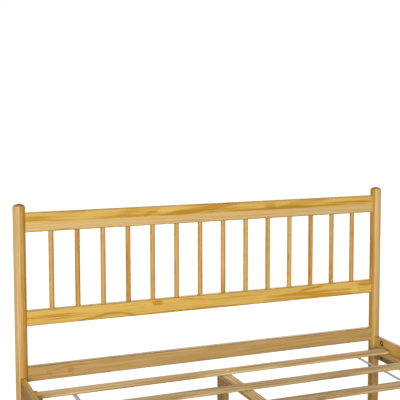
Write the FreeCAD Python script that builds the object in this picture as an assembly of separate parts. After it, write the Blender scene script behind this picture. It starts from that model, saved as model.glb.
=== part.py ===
import FreeCAD, Part
import math
import os

from FreeCAD import Vector

# A queen-size spindle bed in solid wood: a headboard of three flat rails and a
# row of plain round spindles between turned posts, bolted side rails, a low
# foot end, and a deck of loose slats held in step by two webbing straps.
#
# Millimetres. +X is the sleeper's left to right as seen from the foot, +Y
# points to the headboard, +Z up. The origin is on the floor, under the centre
# of the bed.

# ---------------------------------------------------------------- mattress
MATTRESS_WIDTH = 1524.0
MATTRESS_LENGTH = 2032.0
SIDE_CLEARANCE = 12.0  # mattress to each side rail
END_CLEARANCE = 13.0  # mattress to the posts at each end

# ------------------------------------------------------------------- posts
POST_DIAMETER = 47.0
POST_DOME_HEIGHT = 14.0  # rounded top, from the shoulder to the apex
POST_DOME_CORNER = 9.0  # radius where the side turns into the dome
POST_RISE = 35.0  # apex above the rail that the post ends over
POST_FOOT_CHAMFER = 2.0

# -------------------------------------------------------------- side rails
RAIL_TOP_HEIGHT = 330.0  # floor to the top edge of the side rails
SIDE_RAIL_THICKNESS = 18.0
SIDE_RAIL_HEIGHT = 100.0
SIDE_SEAT_DEPTH = 2.5  # flat seat milled into the round post for the rail's end
SIDE_RAIL_ROUNDING = 2.0

# --------------------------------------------- headboard rails, foot rail
BOARD_THICKNESS = 22.0
BOARD_SEAT_DEPTH = 5.0  # housing in the post that takes a board's whole end
BOARD_ROUNDING = 1.5
TOP_RAIL_HEIGHT = 74.0
TOP_RAIL_LIFT = 629.0  # top edge above the side rails' top edge
MIDDLE_RAIL_HEIGHT = 59.0
MIDDLE_RAIL_LIFT = 254.0
LOW_RAIL_HEIGHT = 58.0
LOW_RAIL_LIFT = 37.0
FOOT_RAIL_HEIGHT = 100.0

# ---------------------------------------------------------------- spindles
SPINDLE_COUNT = 14
FIRST_SPINDLE_OFFSET = 120.0  # post axis to the first spindle's axis
SPINDLE_DIAMETER = 20.0
SPINDLE_TENON_DIAMETER = 12.0
SPINDLE_TENON_LENGTH = 15.0
SPINDLE_TENON_CHAMFER = 1.0

# ------------------------------------------------- slats and what bears them
SLAT_COUNT = 10
SLAT_WIDTH = 49.0
SLAT_THICKNESS = 13.0
SLAT_ROUNDING = 1.5
SLAT_DROP = 33.0  # slat tops below the side rails' top edge
SLAT_END_GAP = 2.0  # slat end to the side rail
FIRST_SLAT_OFFSET = 126.0  # post axis to the middle of the first slat

LEDGER_WIDTH = 38.0
LEDGER_HEIGHT = 18.0
LEDGER_OFFSET = 50.0  # post axis to the ledger's end
LEDGER_ROUNDING = 1.5

BEAM_WIDTH = 50.0
BEAM_END_OFFSET = 94.0  # post axis to the beam's end
BEAM_THICKNESS = 13.0
BEAM_ROUNDING = 1.5

LEG_COUNT = 4
LEG_WIDTH = 30.0  # across the bed
LEG_DEPTH = 52.0  # along the bed
LEG_ROUNDING = 2.0

# ---------------------------------------------------------- straps, staples
STRAP_WIDTH = 16.0
STRAP_THICKNESS = 1.2
STRAP_OFFSET = 615.0  # bed's centre line to the strap's middle
STRAP_TAIL = 18.0  # strap end past the middle of the outer slats
STAPLES_PER_CROSSING = 2
STAPLE_PITCH = 22.0
STAPLE_CROWN = 10.0
STAPLE_WIRE_WIDTH = 1.2
STAPLE_WIRE_THICKNESS = 0.6
STAPLE_LEG = 8.0  # reach into the slat

# ------------------------------------------------------------------ dowels
DOWEL_DIAMETER = 8.0
DOWEL_IN_POST = 14.0
DOWEL_IN_RAIL = 26.0
DOWEL_CHAMFER = 0.8
DOWEL_EDGE_SHARE = 0.25  # board dowels stand a quarter of the height from each edge

# ------------------------------------------------- bed bolts and their nuts
BOLT_DIAMETER = 6.0
BOLT_EDGE_DISTANCE = 21.0  # rail's top or bottom edge to the bolt's axis
BOLT_HEAD_DIAMETER = 12.0
BOLT_HEAD_HEIGHT = 3.0
BOLT_HEAD_SOCKET = 4.0  # across the flats of the hex socket
BOLT_SOCKET_DEPTH = 1.8
BOLT_HEAD_SINK = 3.0  # head's outer face below the post's surface
BOLT_TIP_PROUD = 2.0  # tip past the nut
NUT_ACROSS_FLATS = 10.0
NUT_HEIGHT = 5.0
POCKET_DIAMETER = 28.0
POCKET_FLOOR = 3.5  # wood left behind the access hole
POCKET_OFFSET = 76.0  # post axis to the middle of the access hole
WASHER_FLAT_DISTANCE = 6.0  # access hole's axis to the flat that bears the nut

# ------------------------------------------------------------------ screws
SCREW_HEAD_DIAMETER = 8.0
SCREW_HEAD_HEIGHT = 2.4
SCREW_DIAMETER = 4.0
SCREW_POINT = 4.0
SCREW_CROSS_WIDTH = 1.1
SCREW_CROSS_SPAN = 4.4
SCREW_CROSS_DEPTH = 1.4
SLAT_SCREW_LENGTH = 24.0
SLAT_SCREW_SPREAD_X = 14.0  # the two screws over the beam stand on a diagonal
SLAT_SCREW_SPREAD_Y = 13.0
LEDGER_SCREW_LENGTH = 50.0
LEDGER_SCREWS_PER_SIDE = 8
LEDGER_SCREW_OFFSET = 60.0  # ledger's end to its first screw
LEG_SCREW_LENGTH = 50.0
LEG_SCREW_PITCH = 30.0

# ------------------------------------------------------------------ glides
GLIDE_THICKNESS = 5.0
GLIDE_ROUNDING = 1.5
POST_GLIDE_DIAMETER = 32.0
LEG_GLIDE_DIAMETER = 24.0
GLIDE_PIN_DIAMETER = 4.0
GLIDE_PIN_LENGTH = 15.0

# -------------------------------------------------------------- clearances
PEG_CLEARANCE = 0.1  # round peg to its hole, on the radius
BOLT_CLEARANCE = 0.5  # bolt to its hole, on the radius
SINK_CLEARANCE = 0.75  # bolt head to its counterbore, on the radius
WASHER_CLEARANCE = 0.2  # half-moon washer to the access hole's wall and floor
STAPLE_CLEARANCE = 0.1
HOLE_EXTRA_DEPTH = 1.0  # blind holes run this much past the peg
CUT_OVERRUN = 5.0  # cutters reach this far past an open face

# ------------------------------------------------------------ worked places
POST_RADIUS = POST_DIAMETER / 2
POST_SPACING_X = MATTRESS_WIDTH + 2 * SIDE_CLEARANCE + SIDE_RAIL_THICKNESS
POST_SPACING_Y = MATTRESS_LENGTH + 2 * END_CLEARANCE + POST_DIAMETER
HALF_X = POST_SPACING_X / 2
HALF_Y = POST_SPACING_Y / 2

SIDE_SEAT = POST_RADIUS - SIDE_SEAT_DEPTH  # post axis to the seat's flat
BOARD_SEAT = POST_RADIUS - BOARD_SEAT_DEPTH
SIDE_RAIL_BOTTOM = RAIL_TOP_HEIGHT - SIDE_RAIL_HEIGHT
SIDE_RAIL_MIDDLE = RAIL_TOP_HEIGHT - SIDE_RAIL_HEIGHT / 2
BOLT_HEIGHTS = (RAIL_TOP_HEIGHT - BOLT_EDGE_DISTANCE, SIDE_RAIL_BOTTOM + BOLT_EDGE_DISTANCE)

HEAD_SEAT = POST_RADIUS - BOLT_HEAD_SINK - BOLT_HEAD_HEIGHT  # post axis to under the bolt's head
WASHER_FLAT = POCKET_OFFSET - WASHER_FLAT_DISTANCE  # post axis to the flat under the nut
BOLT_LENGTH = HEAD_SEAT + WASHER_FLAT + NUT_HEIGHT + BOLT_TIP_PROUD
WASHER_HALF_LENGTH = SIDE_RAIL_THICKNESS / 2 - POCKET_FLOOR - WASHER_CLEARANCE

TOP_RAIL_TOP = RAIL_TOP_HEIGHT + TOP_RAIL_LIFT
MIDDLE_RAIL_TOP = RAIL_TOP_HEIGHT + MIDDLE_RAIL_LIFT
LOW_RAIL_TOP = RAIL_TOP_HEIGHT + LOW_RAIL_LIFT
HEAD_BOARDS = {
    "headboard_top_rail": (TOP_RAIL_TOP, TOP_RAIL_HEIGHT),
    "headboard_middle_rail": (MIDDLE_RAIL_TOP, MIDDLE_RAIL_HEIGHT),
    "headboard_low_rail": (LOW_RAIL_TOP, LOW_RAIL_HEIGHT),
}
FOOT_BOARDS = {"foot_rail": (RAIL_TOP_HEIGHT, FOOT_RAIL_HEIGHT)}

SLAT_TOP = RAIL_TOP_HEIGHT - SLAT_DROP
SLAT_BOTTOM = SLAT_TOP - SLAT_THICKNESS
SLAT_HALF_LENGTH = HALF_X - SIDE_RAIL_THICKNESS / 2 - SLAT_END_GAP
SLAT_PITCH = (POST_SPACING_Y - 2 * FIRST_SLAT_OFFSET) / (SLAT_COUNT - 1)
SLAT_PLACES = [HALF_Y - FIRST_SLAT_OFFSET - i * SLAT_PITCH for i in range(SLAT_COUNT)]

LEDGER_OUTER = HALF_X - SIDE_RAIL_THICKNESS / 2
LEDGER_INNER = LEDGER_OUTER - LEDGER_WIDTH
LEDGER_MIDDLE = LEDGER_OUTER - LEDGER_WIDTH / 2

BEAM_BOTTOM = SLAT_BOTTOM - BEAM_THICKNESS
BEAM_END = HALF_Y - BEAM_END_OFFSET
LEG_REACH = BEAM_END - LEG_DEPTH / 2
LEG_PLACES = [LEG_REACH - i * 2 * LEG_REACH / (LEG_COUNT - 1) for i in range(LEG_COUNT)]

CORNERS = [(x_side, y_side) for y_side in (1, -1) for x_side in (-1, 1)]


# ----------------------------------------------------------------- helpers
def block(x_low, x_high, y_low, y_high, z_low, z_high):
    """Square-edged block between two corners."""
    size = (x_high - x_low, y_high - y_low, z_high - z_low)
    return Part.makeBox(*size, Vector(x_low, y_low, z_low))


def round_bar(radius, start, direction, length):
    """Cylinder from a start point along a direction."""
    return Part.makeCylinder(radius, length, Vector(*start), Vector(*direction))


def edges_along(shape, axis):
    """Straight edges of a block that run along one axis (0, 1 or 2)."""
    found = []
    for edge in shape.Edges:
        box = edge.BoundBox
        lengths = (box.XLength, box.YLength, box.ZLength)
        if abs(lengths[axis] - edge.Length) < 1e-6:
            found.append(edge)
    return found


def board(axis, rounding, *limits):
    """Block whose long edges, along the given axis, are rounded over."""
    plain = block(*limits)
    return plain.makeFillet(rounding, edges_along(plain, axis))


def chamfered_peg(radius, chamfer, start, direction, length):
    """Round peg with both ends chamfered."""
    peg = round_bar(radius, start, direction, length)
    rims = [edge for edge in peg.Edges if isinstance(edge.Curve, Part.Circle)]
    return peg.makeChamfer(chamfer, rims)


def at_corner(shape, x_side, y_side):
    """Copy from the corner frame to one post.

    The corner frame stands on the post's axis at floor level, with +X towards
    the bed's centre line and +Y along the side rail towards its middle.
    """
    turned = shape
    if x_side > 0:
        turned = turned.mirror(Vector(0, 0, 0), Vector(1, 0, 0))
    if y_side > 0:
        turned = turned.mirror(Vector(0, 0, 0), Vector(0, 1, 0))
    return turned.translated(Vector(x_side * HALF_X, y_side * HALF_Y, 0))


def hexagon_prism(across_flats, start, direction_y, height):
    """Hexagonal prism along Y, with two of its flats square to X."""
    radius = across_flats / math.sqrt(3)
    points = []
    for i in range(7):
        angle = math.radians(60 * i + 30)
        x = start[0] + radius * math.cos(angle)
        z = start[2] + radius * math.sin(angle)
        points.append(Vector(x, start[1], z))
    face = Part.Face(Part.makePolygon(points))
    return face.extrude(Vector(0, direction_y * height, 0))


def screw(length):
    """Countersunk cross-head screw: head face at the origin, point down -Z."""
    head = Part.makeCone(
        SCREW_HEAD_DIAMETER / 2, SCREW_DIAMETER / 2, SCREW_HEAD_HEIGHT, Vector(0, 0, 0), Vector(0, 0, -1)
    )
    shank_length = length - SCREW_HEAD_HEIGHT - SCREW_POINT
    shank = round_bar(SCREW_DIAMETER / 2, (0, 0, -SCREW_HEAD_HEIGHT), (0, 0, -1), shank_length)
    tip_start = Vector(0, 0, -SCREW_HEAD_HEIGHT - shank_length)
    tip = Part.makeCone(SCREW_DIAMETER / 2, 0, SCREW_POINT, tip_start, Vector(0, 0, -1))
    half_span = SCREW_CROSS_SPAN / 2
    half_width = SCREW_CROSS_WIDTH / 2
    slot_x = block(-half_span, half_span, -half_width, half_width, -SCREW_CROSS_DEPTH, CUT_OVERRUN)
    slot_y = block(-half_width, half_width, -half_span, half_span, -SCREW_CROSS_DEPTH, CUT_OVERRUN)
    return head.fuse([shank, tip]).cut([slot_x, slot_y]).removeSplitter()


def screw_hole(length):
    """Countersunk hole that the screw sits in flush, in the screw's own frame."""
    sink_radius = SCREW_HEAD_DIAMETER / 2 + PEG_CLEARANCE
    hole_radius = SCREW_DIAMETER / 2 + PEG_CLEARANCE
    sink = Part.makeCone(sink_radius, hole_radius, SCREW_HEAD_HEIGHT, Vector(0, 0, 0), Vector(0, 0, -1))
    return sink.fuse(round_bar(hole_radius, (0, 0, 0), (0, 0, -1), length + HOLE_EXTRA_DEPTH))


def placed(shape, x, y, z):
    """Copy moved to a place."""
    return shape.translated(Vector(x, y, z))


def export(name, shape):
    """Write one node and report its solids and volume."""
    solids = shape.Solids
    if not shape.isValid() or not solids:
        raise RuntimeError("bad shape: " + name)
    shape.exportStep("parts/" + name + ".step")
    print("%-26s %3d solids %12.1f mm3" % (name, len(solids), shape.Volume))


# ------------------------------------------------- pegs and bolts at a corner
def dowel(start, direction):
    """Wooden dowel from its end in the post, in the corner frame."""
    length = DOWEL_IN_POST + DOWEL_IN_RAIL
    return chamfered_peg(DOWEL_DIAMETER / 2, DOWEL_CHAMFER, start, direction, length)


def dowel_hole(start, direction):
    """Hole round a dowel, a little deeper at both ends."""
    length = DOWEL_IN_POST + DOWEL_IN_RAIL + 2 * HOLE_EXTRA_DEPTH
    base = [s - d * HOLE_EXTRA_DEPTH for s, d in zip(start, direction)]
    return round_bar(DOWEL_DIAMETER / 2 + PEG_CLEARANCE, base, direction, length)


def board_dowel_starts(top, height):
    """Post-side ends of the two dowels that hold one board's end."""
    x = BOARD_SEAT - DOWEL_IN_POST
    inset = height * DOWEL_EDGE_SHARE
    return [(x, 0, top - inset), (x, 0, top - height + inset)]


def side_dowel_start():
    """Post-side end of the dowel that locates a side rail."""
    return (0, SIDE_SEAT - DOWEL_IN_POST, SIDE_RAIL_MIDDLE)


def bed_bolt(height):
    """Flat-head bolt from the back of the post into the rail's access hole."""
    shank = round_bar(BOLT_DIAMETER / 2, (0, -HEAD_SEAT, height), (0, 1, 0), BOLT_LENGTH)
    head = round_bar(BOLT_HEAD_DIAMETER / 2, (0, -HEAD_SEAT, height), (0, -1, 0), BOLT_HEAD_HEIGHT)
    socket_start = (0, -HEAD_SEAT - BOLT_HEAD_HEIGHT, height)
    socket = hexagon_prism(BOLT_HEAD_SOCKET, socket_start, 1, BOLT_SOCKET_DEPTH)
    return shank.fuse(head).cut(socket).removeSplitter()


def bolt_hole(height):
    """Bolt's way through post and rail, with the counterbore for its head."""
    radius = BOLT_DIAMETER / 2 + BOLT_CLEARANCE
    length = HEAD_SEAT + POCKET_OFFSET
    way = round_bar(radius, (0, -HEAD_SEAT, height), (0, 1, 0), length)
    sink_radius = BOLT_HEAD_DIAMETER / 2 + SINK_CLEARANCE
    sink_length = POST_RADIUS - HEAD_SEAT + CUT_OVERRUN
    return way.fuse(round_bar(sink_radius, (0, -HEAD_SEAT, height), (0, -1, 0), sink_length))


def access_hole(height):
    """Round pocket in the rail's inner face, where the nut is turned."""
    mouth = SIDE_RAIL_THICKNESS / 2 + CUT_OVERRUN
    depth = SIDE_RAIL_THICKNESS - POCKET_FLOOR + CUT_OVERRUN
    return round_bar(POCKET_DIAMETER / 2, (mouth, POCKET_OFFSET, height), (-1, 0, 0), depth)


def half_moon_washer(height):
    """Washer that is round against the pocket's wall and flat under the nut."""
    radius = POCKET_DIAMETER / 2 - WASHER_CLEARANCE
    half = WASHER_HALF_LENGTH
    disc = round_bar(radius, (-half, POCKET_OFFSET, height), (1, 0, 0), 2 * half)
    wide = half + CUT_OVERRUN
    far = radius + CUT_OVERRUN
    beyond_flat = block(-wide, wide, WASHER_FLAT, POCKET_OFFSET + far, height - far, height + far)
    hole = round_bar(BOLT_DIAMETER / 2 + BOLT_CLEARANCE, (0, 0, height), (0, 1, 0), POCKET_OFFSET)
    return disc.cut([beyond_flat, hole])


def bed_nut(height):
    """Hex nut on the washer's flat."""
    prism = hexagon_prism(NUT_ACROSS_FLATS, (0, WASHER_FLAT, height), 1, NUT_HEIGHT)
    bore = round_bar(BOLT_DIAMETER / 2 + PEG_CLEARANCE, (0, 0, height), (0, 1, 0), 2 * POCKET_OFFSET)
    return prism.cut(bore)


# ----------------------------------------------------------- posts and rails
def post_profile(top):
    """Half section of a turned post, closed on its axis."""
    crown_drop = POST_DOME_HEIGHT - POST_DOME_CORNER
    inner = POST_RADIUS - POST_DOME_CORNER
    crown_radius = (inner ** 2 + POST_DOME_HEIGHT ** 2 - POST_DOME_CORNER ** 2) / (2 * crown_drop)
    shoulder = top - POST_DOME_HEIGHT
    crown_centre = top - crown_radius
    lean = math.atan2(inner, shoulder - crown_centre)  # where crown and corner meet
    meet = Vector(crown_radius * math.sin(lean), 0, crown_centre + crown_radius * math.cos(lean))
    mid_crown = Vector(
        crown_radius * math.sin(lean / 2), 0, crown_centre + crown_radius * math.cos(lean / 2)
    )
    mid_turn = (math.pi / 2 + lean) / 2
    mid_corner = Vector(
        inner + POST_DOME_CORNER * math.sin(mid_turn), 0, shoulder + POST_DOME_CORNER * math.cos(mid_turn)
    )
    bottom = GLIDE_THICKNESS
    foot_inner = Vector(POST_RADIUS - POST_FOOT_CHAMFER, 0, bottom)
    foot_outer = Vector(POST_RADIUS, 0, bottom + POST_FOOT_CHAMFER)
    corner_start = Vector(POST_RADIUS, 0, shoulder)
    apex = Vector(0, 0, top)
    edges = [
        Part.LineSegment(Vector(0, 0, bottom), foot_inner),
        Part.LineSegment(foot_inner, foot_outer),
        Part.LineSegment(foot_outer, corner_start),
        Part.Arc(corner_start, mid_corner, meet),
        Part.Arc(meet, mid_crown, apex),
        Part.LineSegment(apex, Vector(0, 0, bottom)),
    ]
    return Part.Face(Part.Wire([edge.toShape() for edge in edges]))


def make_post(top, boards):
    """Turned post with its seats, dowel holes and bolt holes, in the corner frame."""
    post = post_profile(top).revolve(Vector(0, 0, 0), Vector(0, 0, 1), 360)
    outer = POST_RADIUS + CUT_OVERRUN
    half_rail = SIDE_RAIL_THICKNESS / 2
    half_board = BOARD_THICKNESS / 2
    cutters = [block(-half_rail, half_rail, SIDE_SEAT, outer, SIDE_RAIL_BOTTOM, RAIL_TOP_HEIGHT)]
    cutters.append(dowel_hole(side_dowel_start(), (0, 1, 0)))
    cutters += [bolt_hole(height) for height in BOLT_HEIGHTS]
    for board_top, board_height in boards.values():
        cutters.append(
            block(BOARD_SEAT, outer, -half_board, half_board, board_top - board_height, board_top)
        )
        cutters += [dowel_hole(start, (1, 0, 0)) for start in board_dowel_starts(board_top, board_height)]
    cutters.append(glide_pin_hole())
    return post.cut(cutters)


def make_board(y_side, top, height, pegs_up=False, pegs_down=False):
    """Flat rail between two posts, housed and dowelled at both ends.

    pegs_up and pegs_down drill the row of spindle sockets in its top or bottom edge.
    """
    reach = HALF_X - BOARD_SEAT
    y = y_side * HALF_Y
    half = BOARD_THICKNESS / 2
    rail = board(0, BOARD_ROUNDING, -reach, reach, y - half, y + half, top - height, top)
    cutters = []
    for x_side in (-1, 1):
        for start in board_dowel_starts(top, height):
            cutters.append(at_corner(dowel_hole(start, (1, 0, 0)), x_side, y_side))
    socket_depth = SPINDLE_TENON_LENGTH + HOLE_EXTRA_DEPTH
    socket_radius = SPINDLE_TENON_DIAMETER / 2 + PEG_CLEARANCE
    for x in spindle_places():
        if pegs_up:
            cutters.append(round_bar(socket_radius, (x, y, top - socket_depth), (0, 0, 1), socket_depth))
        if pegs_down:
            cutters.append(round_bar(socket_radius, (x, y, top - height), (0, 0, 1), socket_depth))
    return rail.cut(cutters)


def make_side_rail(x_side):
    """Side rail on its flat seats, with dowel, bolt and access holes at both ends."""
    x = x_side * HALF_X
    half = SIDE_RAIL_THICKNESS / 2
    reach = HALF_Y - SIDE_SEAT
    limits = (x - half, x + half, -reach, reach, SIDE_RAIL_BOTTOM, RAIL_TOP_HEIGHT)
    rail = board(1, SIDE_RAIL_ROUNDING, *limits)
    cutters = []
    for y_side in (-1, 1):
        cutters.append(at_corner(dowel_hole(side_dowel_start(), (0, 1, 0)), x_side, y_side))
        for height in BOLT_HEIGHTS:
            cutters.append(at_corner(bolt_hole(height), x_side, y_side))
            cutters.append(at_corner(access_hole(height), x_side, y_side))
    for y in ledger_screw_places():
        cutters.append(ledger_screw(screw_hole(LEDGER_SCREW_LENGTH), x_side, y))
    return rail.cut(cutters)


# ---------------------------------------------------------------- spindles
def spindle_places():
    """Spindle axes, evenly spaced between the first and the last."""
    first = -HALF_X + FIRST_SPINDLE_OFFSET
    pitch = -2 * first / (SPINDLE_COUNT - 1)
    return [first + i * pitch for i in range(SPINDLE_COUNT)]


def make_spindle(x):
    """Plain round spindle with a tenon at each end."""
    low = MIDDLE_RAIL_TOP
    high = TOP_RAIL_TOP - TOP_RAIL_HEIGHT
    y = HALF_Y
    body = round_bar(SPINDLE_DIAMETER / 2, (x, y, low), (0, 0, 1), high - low)
    length = high - low + 2 * SPINDLE_TENON_LENGTH
    start = (x, y, low - SPINDLE_TENON_LENGTH)
    core = chamfered_peg(SPINDLE_TENON_DIAMETER / 2, SPINDLE_TENON_CHAMFER, start, (0, 0, 1), length)
    return body.fuse(core).removeSplitter()


# ------------------------------------------------ ledgers, slats, beam, legs
def ledger_screw_places():
    """Screw positions along a ledger."""
    reach = HALF_Y - LEDGER_OFFSET - LEDGER_SCREW_OFFSET
    return [-reach + i * 2 * reach / (LEDGER_SCREWS_PER_SIDE - 1) for i in range(LEDGER_SCREWS_PER_SIDE)]


def ledger_screw(shape, x_side, y):
    """Turn a screw, or its hole, to point outwards through the ledger into the rail."""
    turned = shape.copy()
    turned.rotate(Vector(0, 0, 0), Vector(0, 1, 0), -90 * x_side)
    return placed(turned, x_side * LEDGER_INNER, y, SLAT_BOTTOM - LEDGER_HEIGHT / 2)


def slat_screw_places(y):
    """Screws through an outer slat: one over each ledger, two over the beam."""
    spread_x = SLAT_SCREW_SPREAD_X
    spread_y = SLAT_SCREW_SPREAD_Y
    ends = [(-LEDGER_MIDDLE, y), (LEDGER_MIDDLE, y)]
    side = 1 if y > 0 else -1
    return ends + [(-spread_x * side, y + spread_y), (spread_x * side, y - spread_y)]


def leg_screw_places():
    """Two screws down through the beam into each leg."""
    return [(0, y + side * LEG_SCREW_PITCH / 2) for y in LEG_PLACES for side in (-1, 1)]


def make_ledger(x_side):
    """Strip along the foot of the side rail's inner face that the slats lie on."""
    reach = HALF_Y - LEDGER_OFFSET
    x_low, x_high = sorted((x_side * LEDGER_INNER, x_side * LEDGER_OUTER))
    limits = (x_low, x_high, -reach, reach, SLAT_BOTTOM - LEDGER_HEIGHT, SLAT_BOTTOM)
    strip = board(1, LEDGER_ROUNDING, *limits)
    cutters = [ledger_screw(screw_hole(LEDGER_SCREW_LENGTH), x_side, y) for y in ledger_screw_places()]
    for slat_y in (SLAT_PLACES[0], SLAT_PLACES[-1]):
        for x, y in slat_screw_places(slat_y)[:2]:
            cutters.append(placed(screw_hole(SLAT_SCREW_LENGTH), x, y, SLAT_TOP))
    return strip.cut(cutters)


def staple_places(slat_y):
    """Middles of the staples that hold both straps to one slat."""
    start = slat_y - STAPLE_PITCH * (STAPLES_PER_CROSSING - 1) / 2
    rows = [start + i * STAPLE_PITCH for i in range(STAPLES_PER_CROSSING)]
    return [(side * STRAP_OFFSET, y) for side in (-1, 1) for y in rows]


def staple():
    """Wire staple: crown under the strap, legs up into the slat."""
    half_crown = STAPLE_CROWN / 2
    half_wire = STAPLE_WIRE_WIDTH / 2
    wire = STAPLE_WIRE_THICKNESS
    crown_top = SLAT_BOTTOM - STRAP_THICKNESS
    tip = SLAT_BOTTOM + STAPLE_LEG
    crown = block(-half_crown, half_crown, -half_wire, half_wire, crown_top - wire, crown_top)
    left = block(-half_crown, -half_crown + wire, -half_wire, half_wire, crown_top - wire, tip)
    right = block(half_crown - wire, half_crown, -half_wire, half_wire, crown_top - wire, tip)
    return crown.fuse([left, right]).removeSplitter()


def staple_slots():
    """Slots that the two legs of a staple pass through, with room all round."""
    half_crown = STAPLE_CROWN / 2
    half_wire = STAPLE_WIRE_WIDTH / 2 + STAPLE_CLEARANCE
    low = SLAT_BOTTOM - STRAP_THICKNESS - STAPLE_WIRE_THICKNESS
    high = SLAT_BOTTOM + STAPLE_LEG + HOLE_EXTRA_DEPTH
    slots = []
    for side in (-1, 1):
        outer = side * (half_crown + STAPLE_CLEARANCE)
        inner = side * (half_crown - STAPLE_WIRE_THICKNESS - STAPLE_CLEARANCE)
        x_low, x_high = sorted((outer, inner))
        slots.append(block(x_low, x_high, -half_wire, half_wire, low, high))
    return slots


def make_slat(y, outer):
    """Flat slat; the outer ones are screwed down."""
    half = SLAT_WIDTH / 2
    reach = SLAT_HALF_LENGTH
    slat = board(0, SLAT_ROUNDING, -reach, reach, y - half, y + half, SLAT_BOTTOM, SLAT_TOP)
    cutters = [placed(slot, px, py, 0) for px, py in staple_places(y) for slot in staple_slots()]
    if outer:
        for px, py in slat_screw_places(y):
            cutters.append(placed(screw_hole(SLAT_SCREW_LENGTH), px, py, SLAT_TOP))
    return slat.cut(cutters)


def make_strap(x_side):
    """Flat webbing strap under all the slats."""
    x = x_side * STRAP_OFFSET
    half = STRAP_WIDTH / 2
    reach = SLAT_PLACES[0] + STRAP_TAIL
    strap = block(x - half, x + half, -reach, reach, SLAT_BOTTOM - STRAP_THICKNESS, SLAT_BOTTOM)
    cutters = []
    for slat_y in SLAT_PLACES:
        for px, py in staple_places(slat_y):
            if px * x_side > 0:
                cutters += [placed(slot, px, py, 0) for slot in staple_slots()]
    return strap.cut(cutters)


def make_beam():
    """Flat centre board under the slats."""
    half = BEAM_WIDTH / 2
    beam = board(1, BEAM_ROUNDING, -half, half, -BEAM_END, BEAM_END, BEAM_BOTTOM, SLAT_BOTTOM)
    cutters = [placed(screw_hole(LEG_SCREW_LENGTH), x, y, SLAT_BOTTOM) for x, y in leg_screw_places()]
    for slat_y in (SLAT_PLACES[0], SLAT_PLACES[-1]):
        for x, y in slat_screw_places(slat_y)[2:]:
            cutters.append(placed(screw_hole(SLAT_SCREW_LENGTH), x, y, SLAT_TOP))
    return beam.cut(cutters)


def make_leg(y):
    """Centre leg from its glide up to the beam."""
    half_x = LEG_WIDTH / 2
    half_y = LEG_DEPTH / 2
    leg = board(2, LEG_ROUNDING, -half_x, half_x, y - half_y, y + half_y, GLIDE_THICKNESS, BEAM_BOTTOM)
    cutters = [placed(glide_pin_hole(), 0, y, 0)]
    for x, screw_y in leg_screw_places():
        if abs(screw_y - y) < half_y:
            cutters.append(placed(screw_hole(LEG_SCREW_LENGTH), x, screw_y, SLAT_BOTTOM))
    return leg.cut(cutters)


# ------------------------------------------------------------------ glides
def glide_pin_hole():
    """Hole for a glide's pin, up from the foot of a post or leg."""
    radius = GLIDE_PIN_DIAMETER / 2 + PEG_CLEARANCE
    return round_bar(radius, (0, 0, 0), (0, 0, 1), GLIDE_THICKNESS + GLIDE_PIN_LENGTH + HOLE_EXTRA_DEPTH)


def glide(diameter):
    """Round floor glide with a pin that is driven into the wood."""
    disc = round_bar(diameter / 2, (0, 0, 0), (0, 0, 1), GLIDE_THICKNESS)
    rim = [edge for edge in disc.Edges if edge.BoundBox.ZMax < GLIDE_THICKNESS / 2]
    disc = disc.makeFillet(GLIDE_ROUNDING, rim)
    pin = round_bar(GLIDE_PIN_DIAMETER / 2, (0, 0, 0), (0, 0, 1), GLIDE_THICKNESS + GLIDE_PIN_LENGTH)
    return disc.fuse(pin).removeSplitter()


# ---------------------------------------------------------------- the model
def build_frames(nodes):
    """Posts, headboard rails, spindles, foot rail and side rails."""
    head_post = make_post(TOP_RAIL_TOP + POST_RISE, HEAD_BOARDS)
    foot_post = make_post(RAIL_TOP_HEIGHT + POST_RISE, FOOT_BOARDS)
    for x_side, hand in ((-1, "left"), (1, "right")):
        nodes["head_post_" + hand] = at_corner(head_post, x_side, 1)
        nodes["foot_post_" + hand] = at_corner(foot_post, x_side, -1)
        nodes["side_rail_" + hand] = make_side_rail(x_side)
    for name, (top, height) in HEAD_BOARDS.items():
        pegs_up = name == "headboard_middle_rail"
        pegs_down = name == "headboard_top_rail"
        nodes[name] = make_board(1, top, height, pegs_up, pegs_down)
    for name, (top, height) in FOOT_BOARDS.items():
        nodes[name] = make_board(-1, top, height)
    for i, x in enumerate(spindle_places()):
        nodes["spindle_%02d" % (i + 1)] = make_spindle(x)


def build_deck(nodes):
    """Ledgers, slats, straps, centre beam and its legs."""
    for x_side, hand in ((-1, "left"), (1, "right")):
        nodes["slat_ledger_" + hand] = make_ledger(x_side)
        nodes["slat_strap_" + hand] = make_strap(x_side)
    for i, y in enumerate(SLAT_PLACES):
        outer = i in (0, SLAT_COUNT - 1)
        nodes["slat_%02d" % (i + 1)] = make_slat(y, outer)
    nodes["centre_beam"] = make_beam()
    for i, y in enumerate(LEG_PLACES):
        nodes["centre_leg_%d" % (i + 1)] = make_leg(y)


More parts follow.
